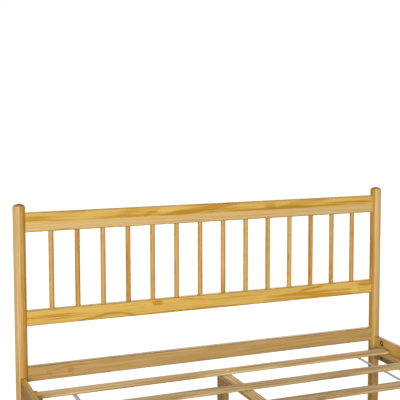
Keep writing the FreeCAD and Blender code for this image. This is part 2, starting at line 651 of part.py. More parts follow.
def build_hardware(nodes):
    """Groups of like fasteners, dowels and glides."""
    groups = {name: [] for name in ("bed_bolts", "half_moon_washers", "bed_nuts")}
    rail_dowels, board_dowels, post_glides = [], [], []
    for x_side, y_side in CORNERS:
        for height in BOLT_HEIGHTS:
            groups["bed_bolts"].append(at_corner(bed_bolt(height), x_side, y_side))
            groups["half_moon_washers"].append(at_corner(half_moon_washer(height), x_side, y_side))
            groups["bed_nuts"].append(at_corner(bed_nut(height), x_side, y_side))
        rail_dowels.append(at_corner(dowel(side_dowel_start(), (0, 1, 0)), x_side, y_side))
        boards = HEAD_BOARDS if y_side > 0 else FOOT_BOARDS
        for top, height in boards.values():
            for start in board_dowel_starts(top, height):
                board_dowels.append(at_corner(dowel(start, (1, 0, 0)), x_side, y_side))
        post_glides.append(at_corner(glide(POST_GLIDE_DIAMETER), x_side, y_side))
    groups["side_rail_dowels"] = rail_dowels
    groups["cross_rail_dowels"] = board_dowels
    groups["post_glides"] = post_glides
    groups["leg_glides"] = [placed(glide(LEG_GLIDE_DIAMETER), 0, y, 0) for y in LEG_PLACES]

    ledger_pin = screw(LEDGER_SCREW_LENGTH)
    groups["ledger_screws"] = [
        ledger_screw(ledger_pin, x_side, y) for x_side in (-1, 1) for y in ledger_screw_places()
    ]
    slat_pin = screw(SLAT_SCREW_LENGTH)
    outer_slats = (SLAT_PLACES[0], SLAT_PLACES[-1])
    groups["slat_screws"] = [
        placed(slat_pin, x, y, SLAT_TOP) for slat_y in outer_slats for x, y in slat_screw_places(slat_y)
    ]
    leg_pin = screw(LEG_SCREW_LENGTH)
    groups["leg_screws"] = [placed(leg_pin, x, y, SLAT_BOTTOM) for x, y in leg_screw_places()]
    wire = staple()
    groups["strap_staples"] = [
        placed(wire, x, y, 0) for slat_y in SLAT_PLACES for x, y in staple_places(slat_y)
    ]
    for name, solids in groups.items():
        nodes[name] = Part.makeCompound(solids)


def main():
    os.makedirs("parts", exist_ok=True)
    nodes = {}
    build_frames(nodes)
    build_deck(nodes)
    build_hardware(nodes)
    for name, shape in nodes.items():
        export(name, shape)
    print("%d nodes, post spacing %.1f x %.1f mm" % (len(nodes), POST_SPACING_X, POST_SPACING_Y))


main()
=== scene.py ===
"""Spindle bed in pine: finishes, webbing straps and studio around the fixed frame.

Lengths are metres in the frame's own axes: +X to the right as seen from the
foot, +Y towards the headboard, +Z up, origin on the floor under the bed.
"""

from __future__ import annotations

import logging
import math
from dataclasses import dataclass, replace
from enum import Enum
from typing import Optional, Union

import bmesh
import bpy
from mathutils import Euler, Matrix, Vector

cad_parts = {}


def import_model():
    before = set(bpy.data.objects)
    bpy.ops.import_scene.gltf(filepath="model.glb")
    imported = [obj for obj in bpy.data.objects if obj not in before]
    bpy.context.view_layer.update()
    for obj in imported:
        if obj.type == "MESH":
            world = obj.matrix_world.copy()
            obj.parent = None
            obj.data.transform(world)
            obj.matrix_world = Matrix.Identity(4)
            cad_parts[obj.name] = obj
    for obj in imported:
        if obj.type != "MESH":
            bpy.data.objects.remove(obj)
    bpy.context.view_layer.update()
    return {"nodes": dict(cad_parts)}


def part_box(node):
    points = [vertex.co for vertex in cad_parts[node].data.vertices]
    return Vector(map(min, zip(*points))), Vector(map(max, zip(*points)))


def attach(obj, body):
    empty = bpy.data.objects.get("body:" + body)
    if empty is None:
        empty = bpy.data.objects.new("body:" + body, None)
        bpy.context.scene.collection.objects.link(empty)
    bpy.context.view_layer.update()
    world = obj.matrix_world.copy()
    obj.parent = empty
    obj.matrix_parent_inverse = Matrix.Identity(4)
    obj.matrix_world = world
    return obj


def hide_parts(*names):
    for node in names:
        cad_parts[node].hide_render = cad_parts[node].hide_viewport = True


LOG = logging.getLogger("spindle_bed")
LOG_ROW = "%-24s %-34s %6d faces"
NOISE_MIDDLE = (0.5, 0.5, 0.5)
WHITE = (1.0, 1.0, 1.0, 1.0)

Colour = tuple[float, float, float, float]
Socket = bpy.types.NodeSocket
Sockets = bpy.types.NodeOutputs
Tree = bpy.types.NodeTree
Material = bpy.types.Material
Nodes = dict[str, bpy.types.Object]
Feed = Union[Socket, float, tuple, Vector, Euler, None]
Feeds = dict[Union[int, str], Feed]


def tint(red: int, green: int, blue: int) -> Colour:
    """Turn a screen colour into the linear one that a shader takes.

    Args:
        red: Red, 0 to 255.
        green: Green, 0 to 255.
        blue: Blue, 0 to 255.

    Returns:
        Linear red, green, blue and an alpha of 1.
    """
    linear = []
    for value in (red, green, blue):
        share = value / 255
        # A screen's own curve: straight near black, a power above it.
        linear.append(share / 12.92 if share <= 0.04045 else ((share + 0.055) / 1.055) ** 2.4)
    return (linear[0], linear[1], linear[2], 1.0)


class Sketch:
    """Short way to lay nodes into a shader tree."""

    def __init__(self, tree: Tree) -> None:
        """Keep the tree that the nodes go into."""
        self.tree = tree

    def feed(self, socket: Socket, value: Feed) -> None:
        """Link a socket to another, or set its plain value.

        Args:
            socket: Input socket.
            value: Output socket, or a number, vector or colour; None leaves the default.
        """
        if isinstance(value, Socket):
            self.tree.links.new(value, socket)
        elif value is not None:
            socket.default_value = value

    def fill(self, node: bpy.types.Node, feeds: Feeds) -> None:
        """Feed several inputs of a node, given by place or name."""
        for socket, value in feeds.items():
            self.feed(node.inputs[socket], value)

    def node(self, kind: str, feeds: Optional[Feeds] = None, **settings: object) -> bpy.types.Node:
        """Add a node.

        Args:
            kind: Blender's name for the node type.
            feeds: What its inputs take, by place or name.
            settings: Attributes to set on it.

        Returns:
            The new node.
        """
        made = self.tree.nodes.new(kind)
        for name, value in settings.items():
            setattr(made, name, value)
        self.fill(made, feeds or {})
        return made

    def group(self, tree: Tree, feeds: Feeds) -> Sockets:
        """Place a node group, and give its outputs."""
        return self.node("ShaderNodeGroup", feeds, node_tree=tree).outputs

    def math(self, operation: str, a: Feed, b: Feed = None, clamp: bool = False) -> Socket:
        """Work out two numbers, kept between 0 and 1 where clamp is set."""
        made = self.node("ShaderNodeMath", {0: a, 1: b}, operation=operation, use_clamp=clamp)
        return made.outputs[0]

    def times(self, a: Feed, b: Feed) -> Socket:
        """Multiply two numbers."""
        return self.math("MULTIPLY", a, b)

    def plus(self, a: Feed, b: Feed) -> Socket:
        """Add two numbers."""
        return self.math("ADD", a, b)

    def vector(self, operation: str, a: Feed, b: Feed = None) -> Socket:
        """Work out two vectors; the result is a number where the operation gives one."""
        made = self.node("ShaderNodeVectorMath", {0: a, 1: b}, operation=operation)
        return made.outputs["Value" if operation in ("LENGTH", "DOT_PRODUCT") else "Vector"]

    def scale(self, vector: Feed, size: Feed) -> Socket:
        """Scale a vector by a number."""
        made = self.node("ShaderNodeVectorMath", {0: vector, "Scale": size}, operation="SCALE")
        return made.outputs[0]

    def split(self, vector: Feed) -> Sockets:
        """Split a vector into its three numbers."""
        return self.node("ShaderNodeSeparateXYZ", {0: vector}).outputs

    def blend(self, share: Feed, a: Feed, b: Feed, mode: str = "MIX") -> Socket:
        """Mix two colours, with share of the second one."""
        feeds = {0: share, 6: a, 7: b}
        return self.node("ShaderNodeMix", feeds, data_type="RGBA", blend_type=mode).outputs[2]

    def between(self, share: Feed, a: Feed, b: Feed) -> Socket:
        """Mix two numbers, with share of the second one."""
        return self.node("ShaderNodeMix", {0: share, 2: a, 3: b}, data_type="FLOAT").outputs[0]

    def ramp(
        self, value: Feed, low: Feed, high: Feed, first: float = 0.0, last: float = 1.0
    ) -> Socket:
        """Map a value smoothly, from first at low to last at high."""
        feeds = dict(enumerate((value, low, high, first, last)))
        return self.node("ShaderNodeMapRange", feeds, interpolation_type="SMOOTHSTEP").outputs[0]

    def bump(self, height: Feed, strength: float, distance: float) -> Socket:
        """Bend the normal by a height, which counts distance metres at 1."""
        feeds = {"Strength": strength, "Distance": distance, "Height": height}
        return self.node("ShaderNodeBump", feeds).outputs[0]

    def noise(self, vector: Feed, seed: Feed, stretch: tuple, detail: float = 2.0) -> Sockets:
        """Add a seeded Noise node on stretched coordinates.

        Args:
            vector: Coordinates in metres.
            seed: Fourth coordinate, which picks the pattern.
            stretch: Cells per metre along each axis.
            detail: Octaves of finer noise.

        Returns:
            The Noise node's outputs.
        """
        place = self.vector("MULTIPLY", vector, stretch)
        feeds = {"Vector": place, "W": seed, "Scale": 1.0, "Detail": detail}
        return self.node("ShaderNodeTexNoise", feeds, noise_dimensions="4D").outputs


def new_group(name: str, takes: dict[str, str], gives: dict[str, str]) -> tuple[Tree, Sketch]:
    """Start a shader node group.

    Args:
        name: Group's name.
        takes: Input names with their socket types.
        gives: Output names with their socket types.

    Returns:
        The group and a sketch on it.
    """
    tree = bpy.data.node_groups.new(name, "ShaderNodeTree")
    for way, sockets in (("INPUT", takes), ("OUTPUT", gives)):
        for socket, kind in sockets.items():
            tree.interface.new_socket(name=socket, in_out=way, socket_type="NodeSocket" + kind)
    return tree, Sketch(tree)


def new_material(name: str) -> tuple[Material, Sketch, bpy.types.Node]:
    """Start a material.

    Args:
        name: Material's name.

    Returns:
        The material, a sketch on it and its shader.
    """
    made = bpy.data.materials.new(name)
    made.use_nodes = True
    return made, Sketch(made.node_tree), made.node_tree.nodes["Principled BSDF"]


def put(name: str, data: bpy.types.ID) -> bpy.types.Object:
    """Put a new object into the scene.

    Args:
        name: Object's name.
        data: Its mesh, light or camera.

    Returns:
        The object.
    """
    made = bpy.data.objects.new(name, data)
    bpy.context.scene.collection.objects.link(made)
    return made


class Effects:
    """Node groups that several finishes share, each built once.

    Cells are counts per metre along, across and in depth. Fades are ramps: low,
    high, result at low, result at high.
    """

    KNOT_CELLS = (5.0, 13.0, 13.0)
    DRIFT_CELLS = (1.5, 6.0, 6.0)
    CLOUD_CELLS = (1.3, 9.0, 9.0)
    STREAK_CELLS = (2.2, 62.0, 62.0)
    THREAD_CELLS = (5.0, 170.0, 170.0)
    FIBRE_CELLS = (16.0, 520.0, 520.0)
    WEAR_CELLS = (40.0, 90.0, 90.0)
    SMEAR_CELLS = (180.0, 180.0, 180.0)

    KNOT_FADE = (0.05, 0.17, 1.0, 0.0)
    SWIRL_FADE = (0.0, 0.55, 0.016, 0.0)
    RING_RISE = (0.2, 0.82, 0.0, 1.0)
    RING_FALL = (0.88, 1.0, 1.0, 0.0)
    YEAR_FADE = (0.0, 1.0, 0.35, 1.0)
    HEART_RIM = (-0.003, 0.004, 0.0, 1.0)
    LINE_FADE = (0.25, 0.75, 0.45, 1.0)
    BAND_FADE = (0.48, 0.78, 0.0, 1.0)
    HAIR_FADE = (0.5, 0.8, 0.0, 1.0)
    BURN_FADE = (0.35, 0.65, 0.5, 1.3)
    CLOUD_LIGHT = (0.2, 0.8, -0.06, 0.06)
    THREAD_LIGHT = (0.2, 0.8, 0.06, -0.06)
    FIBRE_LIGHT = (0.2, 0.8, 0.95, 1.05)
    WEAR_FADE = (0.2, 0.8, 0.6, 1.4)
    PLATE_ROUGHNESS = (0.1, 0.9, 0.26, 0.5)

    HAIR_SHARE = 0.6
    KNOT_SHARE = 0.8
    LATE_RELIEF = 0.6
    FIBRE_RELIEF = 0.4
    SPANGLE_SHARE = 0.4
    SMEAR_SHARE = 0.6
    SMEAR_SEED = 3.0

    def __init__(self) -> None:
        """Build the groups."""
        self.mark = self._mark()
        self.pine = self._pine()
        self.edge = self._edge()
        self.steel = self._steel()

    def _mark(self) -> Tree:
        """Lay a soft oval in the plane of the grain: full in its core, nothing from its rim on.

        Returns:
            The group.
        """
        names = ("Vector", "Place", "Turn", "Reach")
        takes = dict.fromkeys(names, "Vector") | {"Core": "Float"}
        tree, sketch = new_group("GrainMark", takes, {"Mask": "Float"})
        given = sketch.node("NodeGroupInput").outputs
        feeds = {place: given[name] for place, name in enumerate(names)}
        local = sketch.node("ShaderNodeMapping", feeds, vector_type="TEXTURE").outputs[0]
        mask = sketch.ramp(sketch.vector("LENGTH", local), given["Core"], 1.0, 1.0, 0.0)
        sketch.node("NodeGroupOutput", {"Mask": mask})
        return tree

    def _knots(
        self, sketch: Sketch, given: Sockets
    ) -> tuple[Socket, Socket]:
        """Scatter knots over the grain.

        Args:
            sketch: Sketch on the group.
            given: What the group takes.

        Returns:
            Mask of the knots, and how far they push the rings aside.
        """
        place = sketch.vector("MULTIPLY", given["Vector"], self.KNOT_CELLS)
        feeds = {"Vector": place, "W": given["Seed"], "Scale": 1.0}
        cells = sketch.node("ShaderNodeTexVoronoi", feeds, voronoi_dimensions="4D").outputs
        chance = sketch.node("ShaderNodeSeparateColor", {0: cells["Color"]}).outputs[0]
        chosen = sketch.math("LESS_THAN", chance, given["Knots"])
        knot = sketch.times(sketch.ramp(cells["Distance"], *self.KNOT_FADE), chosen)
        swirl = sketch.times(sketch.ramp(cells["Distance"], *self.SWIRL_FADE), chosen)
        return knot, swirl

    def _radius(self, sketch: Sketch, given: Sockets, swirl: Feed) -> Socket:
        """Measure how far the wood lies from the pith, with the rings' strays.

        Args:
            sketch: Sketch on the group.
            given: What the group takes.
            swirl: Push of the knots.

        Returns:
            The radius in metres.
        """
        vector = given["Vector"]
        drift = sketch.noise(vector, given["Seed"], self.DRIFT_CELLS)["Color"]
        stray = sketch.scale(sketch.vector("SUBTRACT", drift, NOISE_MIDDLE), given["Wander"])
        leaning = sketch.scale(given["Lean"], sketch.split(vector)[0])
        offset = sketch.vector("SUBTRACT", vector, given["Pith"])
        offset = sketch.vector("SUBTRACT", offset, leaning)
        offset = sketch.vector("ADD", offset, stray)
        radius = sketch.vector("LENGTH", sketch.vector("MULTIPLY", offset, (0.0, 1.0, 1.0)))
        return sketch.plus(sketch.plus(radius, swirl), given["Push"])

    def _rings(self, sketch: Sketch, given: Sockets, radius: Feed) -> Socket:
        """Mask the late wood of each year's ring.

        Args:
            sketch: Sketch on the group.
            given: What the group takes.
            radius: Distance from the pith.

        Returns:
            The mask, stronger in some years than in others.
        """
        phase = sketch.math("DIVIDE", radius, given["Ring Spacing"])
        ring = sketch.math("FRACT", phase)
        year = sketch.plus(sketch.math("FLOOR", phase), given["Seed"])
        chance = sketch.node("ShaderNodeTexWhiteNoise", noise_dimensions="1D")
        sketch.fill(chance, {"W": year})
        late = sketch.times(sketch.ramp(ring, *self.RING_RISE), sketch.ramp(ring, *self.RING_FALL))
        return sketch.times(late, sketch.ramp(chance.outputs["Value"], *self.YEAR_FADE))

    def _pine(self) -> Tree:
        """Lay growth rings, fibres, streaks and knots, and the marks' painted shade; X of the
        coordinates runs along the grain.

        Returns:
            The group.
        """
        kinds = {
            "Vector": ("Vector", "Pith", "Lean"),
            "Float": (
                "Seed", "Heart Radius", "Ring Spacing", "Wander", "Figure", "Streaks", "Knots",
                "Push", "Flame", "Shade",
            ),
            "Color": ("Heartwood", "Sapwood", "Late Heartwood", "Late Sapwood", "Knot"),
        }
        takes = {name: kind for kind, names in kinds.items() for name in names}
        gives = {"Color": "Color", "Late": "Float", "Relief": "Float"}
        tree, sketch = new_group("PineGrain", takes, gives)
        given = sketch.node("NodeGroupInput").outputs
        vector, seed = given["Vector"], given["Seed"]
        knot, swirl = self._knots(sketch, given)
        radius = self._radius(sketch, given, swirl)
        late = self._rings(sketch, given, radius)
        streak = sketch.noise(vector, seed, self.STREAK_CELLS, 3.0)[0]
        thread = sketch.noise(vector, seed, self.THREAD_CELLS)[0]
        fibre = sketch.noise(vector, seed, self.FIBRE_CELLS)[0]
        cloud = sketch.noise(vector, seed, self.CLOUD_CELLS, 1.0)[0]

        sap = sketch.ramp(sketch.math("SUBTRACT", radius, given["Heart Radius"]), *self.HEART_RIM)
        wood = sketch.blend(sap, given["Heartwood"], given["Sapwood"])
        dark = sketch.blend(sap, given["Late Heartwood"], given["Late Sapwood"])
        lines = sketch.times(late, given["Figure"])
        lines = sketch.times(lines, sketch.ramp(streak, *self.LINE_FADE))
        bands = sketch.times(sketch.ramp(streak, *self.BAND_FADE), given["Streaks"])
        hairs = sketch.times(given["Streaks"], self.HAIR_SHARE)
        hairs = sketch.times(sketch.ramp(thread, *self.HAIR_FADE), hairs)
        burn = sketch.times(given["Flame"], sketch.ramp(thread, *self.BURN_FADE))
        share = sketch.math("ADD", sketch.plus(lines, bands), sketch.plus(hairs, burn), True)
        colour = sketch.blend(share, wood, dark)

        soft, fine = sketch.ramp(cloud, *self.CLOUD_LIGHT), sketch.ramp(thread, *self.THREAD_LIGHT)
        light = sketch.plus(sketch.plus(soft, fine), sketch.ramp(fibre, *self.FIBRE_LIGHT))
        # The marks' painted shade darkens the wood here, and paints light where it is below zero; a
        # few marks are darker wood.
        light = sketch.math("SUBTRACT", light, given["Shade"])
        level = sketch.node("ShaderNodeCombineColor", {0: light, 1: light, 2: light}).outputs[0]
        colour = sketch.blend(1.0, colour, level, "MULTIPLY")
        colour = sketch.blend(sketch.times(knot, self.KNOT_SHARE), colour, given["Knot"])
        rise = sketch.times(late, self.LATE_RELIEF)
        relief = sketch.plus(rise, sketch.times(fibre, self.FIBRE_RELIEF))
        sketch.node("NodeGroupOutput", {"Color": colour, "Late": late, "Relief": relief})
        return tree

    def _edge(self) -> Tree:
        """Mask a board's edges, where a finish wears or gathers and where shade is painted along
        the arrises.

        Returns:
            The group.
        """
        takes = {"Vector": "Vector", "Half Size": "Vector", "Width": "Float", "Seed": "Float"}
        tree, sketch = new_group("BoardEdge", takes, {"Mask": "Float"})
        given = sketch.node("NodeGroupInput").outputs
        away = sketch.vector("ABSOLUTE", given["Vector"])
        x, y, z = sketch.split(sketch.vector("SUBTRACT", given["Half Size"], away))
        lower, upper = sketch.math("MINIMUM", x, y), sketch.math("MAXIMUM", x, y)
        second = sketch.math("MAXIMUM", lower, sketch.math("MINIMUM", upper, z))
        rough = sketch.noise(given["Vector"], given["Seed"], self.WEAR_CELLS)[0]
        worn = sketch.times(given["Width"], sketch.ramp(rough, *self.WEAR_FADE))
        sketch.node("NodeGroupOutput", {"Mask": sketch.ramp(second, 0.0, worn, 1.0, 0.0)})
        return tree

    def _steel(self) -> Tree:
        """Lay spangle and handling marks on plated or browned steel.

        Returns:
            The group.
        """
        takes = {"Vector": "Vector", "Light": "Color", "Dull": "Color", "Spangle": "Float"}
        gives = {"Color": "Color", "Roughness": "Float", "Relief": "Float"}
        tree, sketch = new_group("SteelSkin", takes, gives)
        given = sketch.node("NodeGroupInput").outputs
        feeds = {"Vector": given["Vector"], "Scale": given["Spangle"]}
        cells = sketch.node("ShaderNodeTexVoronoi", feeds).outputs["Color"]
        patch = sketch.node("ShaderNodeSeparateColor", {0: cells}).outputs[0]
        smear = sketch.noise(given["Vector"], self.SMEAR_SEED, self.SMEAR_CELLS, 3.0)[0]
        spots = sketch.times(patch, self.SPANGLE_SHARE)
        share = sketch.plus(spots, sketch.times(smear, self.SMEAR_SHARE))
        results = {
            "Color": sketch.blend(share, given["Light"], given["Dull"]),
            "Roughness": sketch.ramp(share, *self.PLATE_ROUGHNESS),
            "Relief": smear,
        }
        sketch.node("NodeGroupOutput", results)
        return tree


class Lie(Enum):
    """Which way a piece lies: the rows turn the frame's axes into along, across and depth."""

    RAIL_ACROSS = ((1, 0, 0), (0, 0, 1), (0, -1, 0))
    RAIL_ALONG = ((0, 1, 0), (0, 0, 1), (1, 0, 0))
    SLAT_ACROSS = ((1, 0, 0), (0, 1, 0), (0, 0, 1))
    BOARD_ALONG = ((0, 1, 0), (-1, 0, 0), (0, 0, 1))
    UPRIGHT = ((0, 0, 1), (1, 0, 0), (0, 1, 0))

    @property
    def turn(self) -> Matrix:
        """Rotation from the frame's axes to the grain's."""
        return Matrix(self.value)

    @property
    def along(self) -> Vector:
        """Direction of the grain."""
        return Vector(self.value[0])


class Figure(Enum):
    """What a mark in the grain is: the grain's input that it feeds, and its sign there.

    A flame is a resinous amber patch, a pale one is a light patch, an arch pushes the
    rings aside, and a shade is mostly painted shade, darker wood in a few marks, and painted light
    where its strength is below zero.
    """

    FLAME = ("Flame", 1.0)
    PALE = ("Flame", -1.0)
    ARCH = ("Push", 1.0)
    # Mostly painted shade, and painted light below zero; darker wood in a few marks.
    WOOD_TONE_AND_PAINTED_SHADE = ("Shade", 1.0)


@dataclass(frozen=True)
class Mark:
    """One listed mark in the grain, or a patch of painted shade or light.

    Attributes:
        figure: What it is.
        along: Middle along the grain, from the piece's middle.
        across: Middle across the grain.
        length: Half length.
        height: Half height.
        slant: Rise over run of its long axis.
        strength: Share of the late wood's colour, an arch's push in metres, or the light that a
            shade takes away as painted shade, giving painted light where it is below zero.
        core: Share of its reach that is full.
        into: Middle in depth.
        depth: Half depth, by default right through the piece.
    """

    figure: Figure
    along: float
    across: float
    length: float
    height: float
    slant: float = 0.0
    strength: float = 0.7
    core: float = 0.2
    into: float = 0.0
    depth: float = 100.0


def marks(figure: Figure, *rows: tuple[float, ...]) -> tuple[Mark, ...]:
    """Make marks of one figure, from rows of a mark's other values in their order."""
    return tuple(Mark(figure, *row) for row in rows)


@dataclass(frozen=True)
class Cut:
    """How a piece, or one strip of a glued board, was sawn from the log.

    Attributes:
        seed: Picks the pattern.
        pith: Pith's place from the piece's middle, across and in depth.
        lean: How far the pith moves across and in depth for each metre along.
        heart: Radius of the heartwood round the pith.
        ring: Growth in a year.
        figure: How strongly the growth rings show.
        streaks: How strongly the long streaks show.
        amber: Share of the late wood's colour all over.
        knots: Share of the cells that hold a knot.
        wander: How far the rings stray from straight.
        tone: Shade of the whole piece, 1 for the finish's own.
        marks: Listed marks.
    """

    seed: float
    pith: tuple[float, float] = (0.02, 0.05)
    lean: tuple[float, float] = (0.0, 0.02)
    heart: float = 0.05
    ring: float = 0.0075
    figure: float = 1.0
    streaks: float = 0.3
    amber: float = 0.0
    knots: float = 0.0
    wander: float = 0.03
    tone: float = 1.0
    marks: tuple[Mark, ...] = ()


@dataclass(frozen=True)
class Timber:
    """Strips that a piece is glued from, and the seams between them.

    Attributes:
        strips: Cuts from the upper strip to the lower one.
        seams: Each seam's place across the grain.
    """

    strips: tuple[Cut, ...]
    seams: tuple[float, ...] = ()


@dataclass(frozen=True)
class WoodFinish:
    """Wood with or without lacquer.

    Attributes:
        name: Finish's name.
        heartwood: Early heartwood.
        sapwood: Early sapwood.
        late_heartwood: Late wood of the heart.
        late_sapwood: Late wood of the sap.
        knot: Knots.
        edge: Edges and end grain, gathered finish with painted shade along the arrises.
        roughness: Roughness of the face.
        coat: Weight of the clear coat.
        gloss: Reflection level of the face; end grain has none.
        late_gleam: How much less rough late wood is, and how much rougher early wood.
        coat_roughness: Roughness of the clear coat.
        edge_width: Width of the darker edges, gathered finish and painted shade.
        edge_share: How much of the edge's colour they show.
        end_share: The same for end grain.
        end_rim: How far a face has to turn to the grain's direction to count as end grain.
        dull_rim: The same for losing its gloss.
        relief: Height of the grain.
        relief_strength: How strongly it shows.
        seam_width: Half width of a glued seam.
        mark_warp: How far ragged noise moves the marks' rims along, across and in depth.
        mark_cells: That noise's cells per metre.
    """

    name: str
    heartwood: Colour
    sapwood: Colour
    late_heartwood: Colour
    late_sapwood: Colour
    knot: Colour
    edge: Colour
    roughness: float
    coat: float
    gloss: float = 0.3
    late_gleam: float = 0.05
    coat_roughness: float = 0.25
    edge_width: float = 0.0045
    edge_share: float = 0.6
    end_share: float = 0.6
    end_rim: tuple[float, float] = (0.5, 1.0)
    dull_rim: tuple[float, float] = (0.2, 0.8)
    relief: float = 0.0004
    relief_strength: float = 0.35
    seam_width: float = 0.0003
    mark_warp: tuple[float, float, float] = (0.06, 0.012, 0.0)
    mark_cells: tuple[float, float, float] = (7.0, 45.0, 45.0)

    def material(
        self, effects: Effects, name: str, box: tuple[Vector, Vector], lie: Lie, timber: Timber
    ) -> Material:
        """Make this finish for one piece, with grain that belongs to that piece.

        Args:
            effects: Shared node groups.
            name: Piece's name.
            box: Piece's lowest and highest corner.
            lie: Which way its grain runs.
            timber: What it was made from.

        Returns:
            The material.
        """
        made, sketch, shader = new_material(self.name + "_" + name)
        middle, half = (box[0] + box[1]) / 2, (box[1] - box[0]) / 2
        surface = sketch.node("ShaderNodeTexCoord").outputs
        feeds = {
            "Vector": surface["Object"],
            "Location": -(lie.turn @ middle),
            "Rotation": lie.turn.to_euler("XYZ"),
        }
        vector = sketch.node("ShaderNodeMapping", feeds).outputs[0]

        grain = self._grain(sketch, effects, vector, timber.strips[0])
        colour, late, relief = grain["Color"], grain["Late"], grain["Relief"]
        for seam, cut in zip(timber.seams, timber.strips[1:]):
            across = sketch.split(vector)[1]
            below = sketch.ramp(across, seam - self.seam_width, seam + self.seam_width, 1.0, 0.0)
            lower = self._grain(sketch, effects, vector, cut)
            colour = sketch.blend(below, colour, lower["Color"])
            late = sketch.between(below, late, lower["Late"])
            relief = sketch.between(below, relief, lower["Relief"])
        edge = sketch.group(
            effects.edge,
            {
                "Vector": vector,
                "Half Size": tuple(abs(part) for part in lie.turn @ half),
                "Width": self.edge_width,
                "Seed": timber.strips[0].seed,
            },
        )
        facing = sketch.math("ABSOLUTE", sketch.vector("DOT_PRODUCT", surface["Normal"], lie.along))
        end = sketch.ramp(facing, *self.end_rim, 0.0, self.end_share)
        # Darker edges: gathered finish, and painted shade along the arrises.
        share = sketch.math("MAXIMUM", sketch.times(edge["Mask"], self.edge_share), end)
        early, gleam = self.roughness + self.late_gleam, self.roughness - self.late_gleam
        looks = {
            "Base Color": sketch.blend(share, colour, self.edge),
            "Roughness": sketch.ramp(late, 0.0, 1.0, early, gleam),
            "Specular IOR Level": sketch.ramp(facing, *self.dull_rim, self.gloss, 0.0),
            "Coat Weight": self.coat,
            "Coat Roughness": self.coat_roughness,
            "Normal": sketch.bump(relief, self.relief_strength, self.relief),
        }
        sketch.fill(shader, looks)
        return made

    def _grain(self, sketch: Sketch, effects: Effects, vector: Feed, cut: Cut) -> Sockets:
        """Lay one strip's grain into a material.

        Args:
            sketch: Sketch on the material.
            effects: Shared node groups.
            vector: Coordinates whose X runs along the grain.
            cut: How the strip was sawn.

        Returns:
            The grain's colour, late wood and relief.
        """
        feeds: Feeds = {
            "Vector": vector,
            "Seed": cut.seed,
            "Pith": (0.0, *cut.pith),
            "Lean": (0.0, *cut.lean),
            "Heart Radius": cut.heart,
            "Ring Spacing": cut.ring,
            "Wander": cut.wander,
            "Figure": cut.figure,
            "Streaks": cut.streaks,
            "Knots": cut.knots,
            "Heartwood": self.shaded(self.heartwood, cut.tone),
            "Sapwood": self.shaded(self.sapwood, cut.tone),
            "Late Heartwood": self.shaded(self.late_heartwood, cut.tone),
            "Late Sapwood": self.shaded(self.late_sapwood, cut.tone),
            "Knot": self.knot,
        }
        feeds.update(self._marks(sketch, effects, vector, cut))
        return sketch.group(effects.pine, feeds)

    def _marks(self, sketch: Sketch, effects: Effects, vector: Feed, cut: Cut) -> Feeds:
        """Add up the marks of one strip.

        Args:
            sketch: Sketch on the material.
            effects: Shared node groups.
            vector: Coordinates whose X runs along the grain.
            cut: How the strip was sawn.

        Returns:
            What the grain group's Flame, Push and Shade take.
        """
        sums: Feeds = {"Flame": cut.amber}
        if not cut.marks:
            return sums
        ragged = sketch.noise(vector, cut.seed + 0.5, self.mark_cells, 4.0)["Color"]
        stray = sketch.vector("SUBTRACT", ragged, NOISE_MIDDLE)
        warped = sketch.vector("ADD", vector, sketch.vector("MULTIPLY", stray, self.mark_warp))
        for mark in cut.marks:
            target, sign = mark.figure.value
            feeds = {
                "Vector": warped,
                "Place": (mark.along, mark.across, mark.into),
                "Turn": (0.0, 0.0, math.atan(mark.slant)),
                "Reach": (mark.length, mark.height, mark.depth),
                "Core": mark.core,
            }
            oval = sketch.group(effects.mark, feeds)["Mask"]
            share = sketch.times(oval, sign * mark.strength)
            sums[target] = sketch.plus(sums.get(target, 0.0), share)
        return sums

    @staticmethod
    def shaded(colour: Colour, tone: float) -> Colour:
        """Scale a colour's light by a tone."""
        return (colour[0] * tone, colour[1] * tone, colour[2] * tone, 1.0)


@dataclass(frozen=True)
class SteelFinish:
    """Plated or browned steel."""

    name: str
    light: Colour
    dull: Colour
    spangle: float
    relief: float = 0.0002
    relief_strength: float = 0.2

    def material(self, effects: Effects) -> Material:
        """Make the material.

        Args:
            effects: Shared node groups.

        Returns:
            The material.
        """
        made, sketch, shader = new_material(self.name)
        place = sketch.node("ShaderNodeTexCoord").outputs["Object"]
        feeds = {"Vector": place, "Light": self.light, "Dull": self.dull, "Spangle": self.spangle}
        plate = sketch.group(effects.steel, feeds)
        looks = {
            "Base Color": plate["Color"],
            "Roughness": plate["Roughness"],
            "Metallic": 1.0,
            "Normal": sketch.bump(plate["Relief"], self.relief_strength, self.relief),
        }
        sketch.fill(shader, looks)
        return made


@dataclass(frozen=True)
class NylonFinish:
    """Dark moulded nylon with a fine pebble."""

    name: str
    face: Colour
    scuff: Colour
    scuff_height: float = 0.003
    pebble_cells: tuple[float, float, float] = (900.0, 900.0, 900.0)
    scuff_cells: tuple[float, float, float] = (120.0, 120.0, 120.0)
    pebble_fade: tuple[float, float] = (0.2, 0.8)
    scuff_fade: tuple[float, float] = (0.4, 0.65)
    roughness: tuple[float, float] = (0.45, 0.62)
    relief: float = 0.0002
    relief_strength: float = 0.3

    def material(self) -> Material:
        """Make the material, scuffed where it meets the floor.

        Returns:
            The material.
        """
        made, sketch, shader = new_material(self.name)
        place = sketch.node("ShaderNodeTexCoord").outputs["Object"]
        pebble = sketch.noise(place, 1.0, self.pebble_cells)[0]
        low = sketch.ramp(sketch.split(place)[2], 0.0, self.scuff_height, 1.0, 0.0)
        patch = sketch.ramp(sketch.noise(place, 2.0, self.scuff_cells, 3.0)[0], *self.scuff_fade)
        looks = {
            "Base Color": sketch.blend(sketch.times(low, patch), self.face, self.scuff),
            "Roughness": sketch.ramp(pebble, *self.pebble_fade, *self.roughness),
            "Normal": sketch.bump(pebble, self.relief_strength, self.relief),
        }
        sketch.fill(shader, looks)
        return made


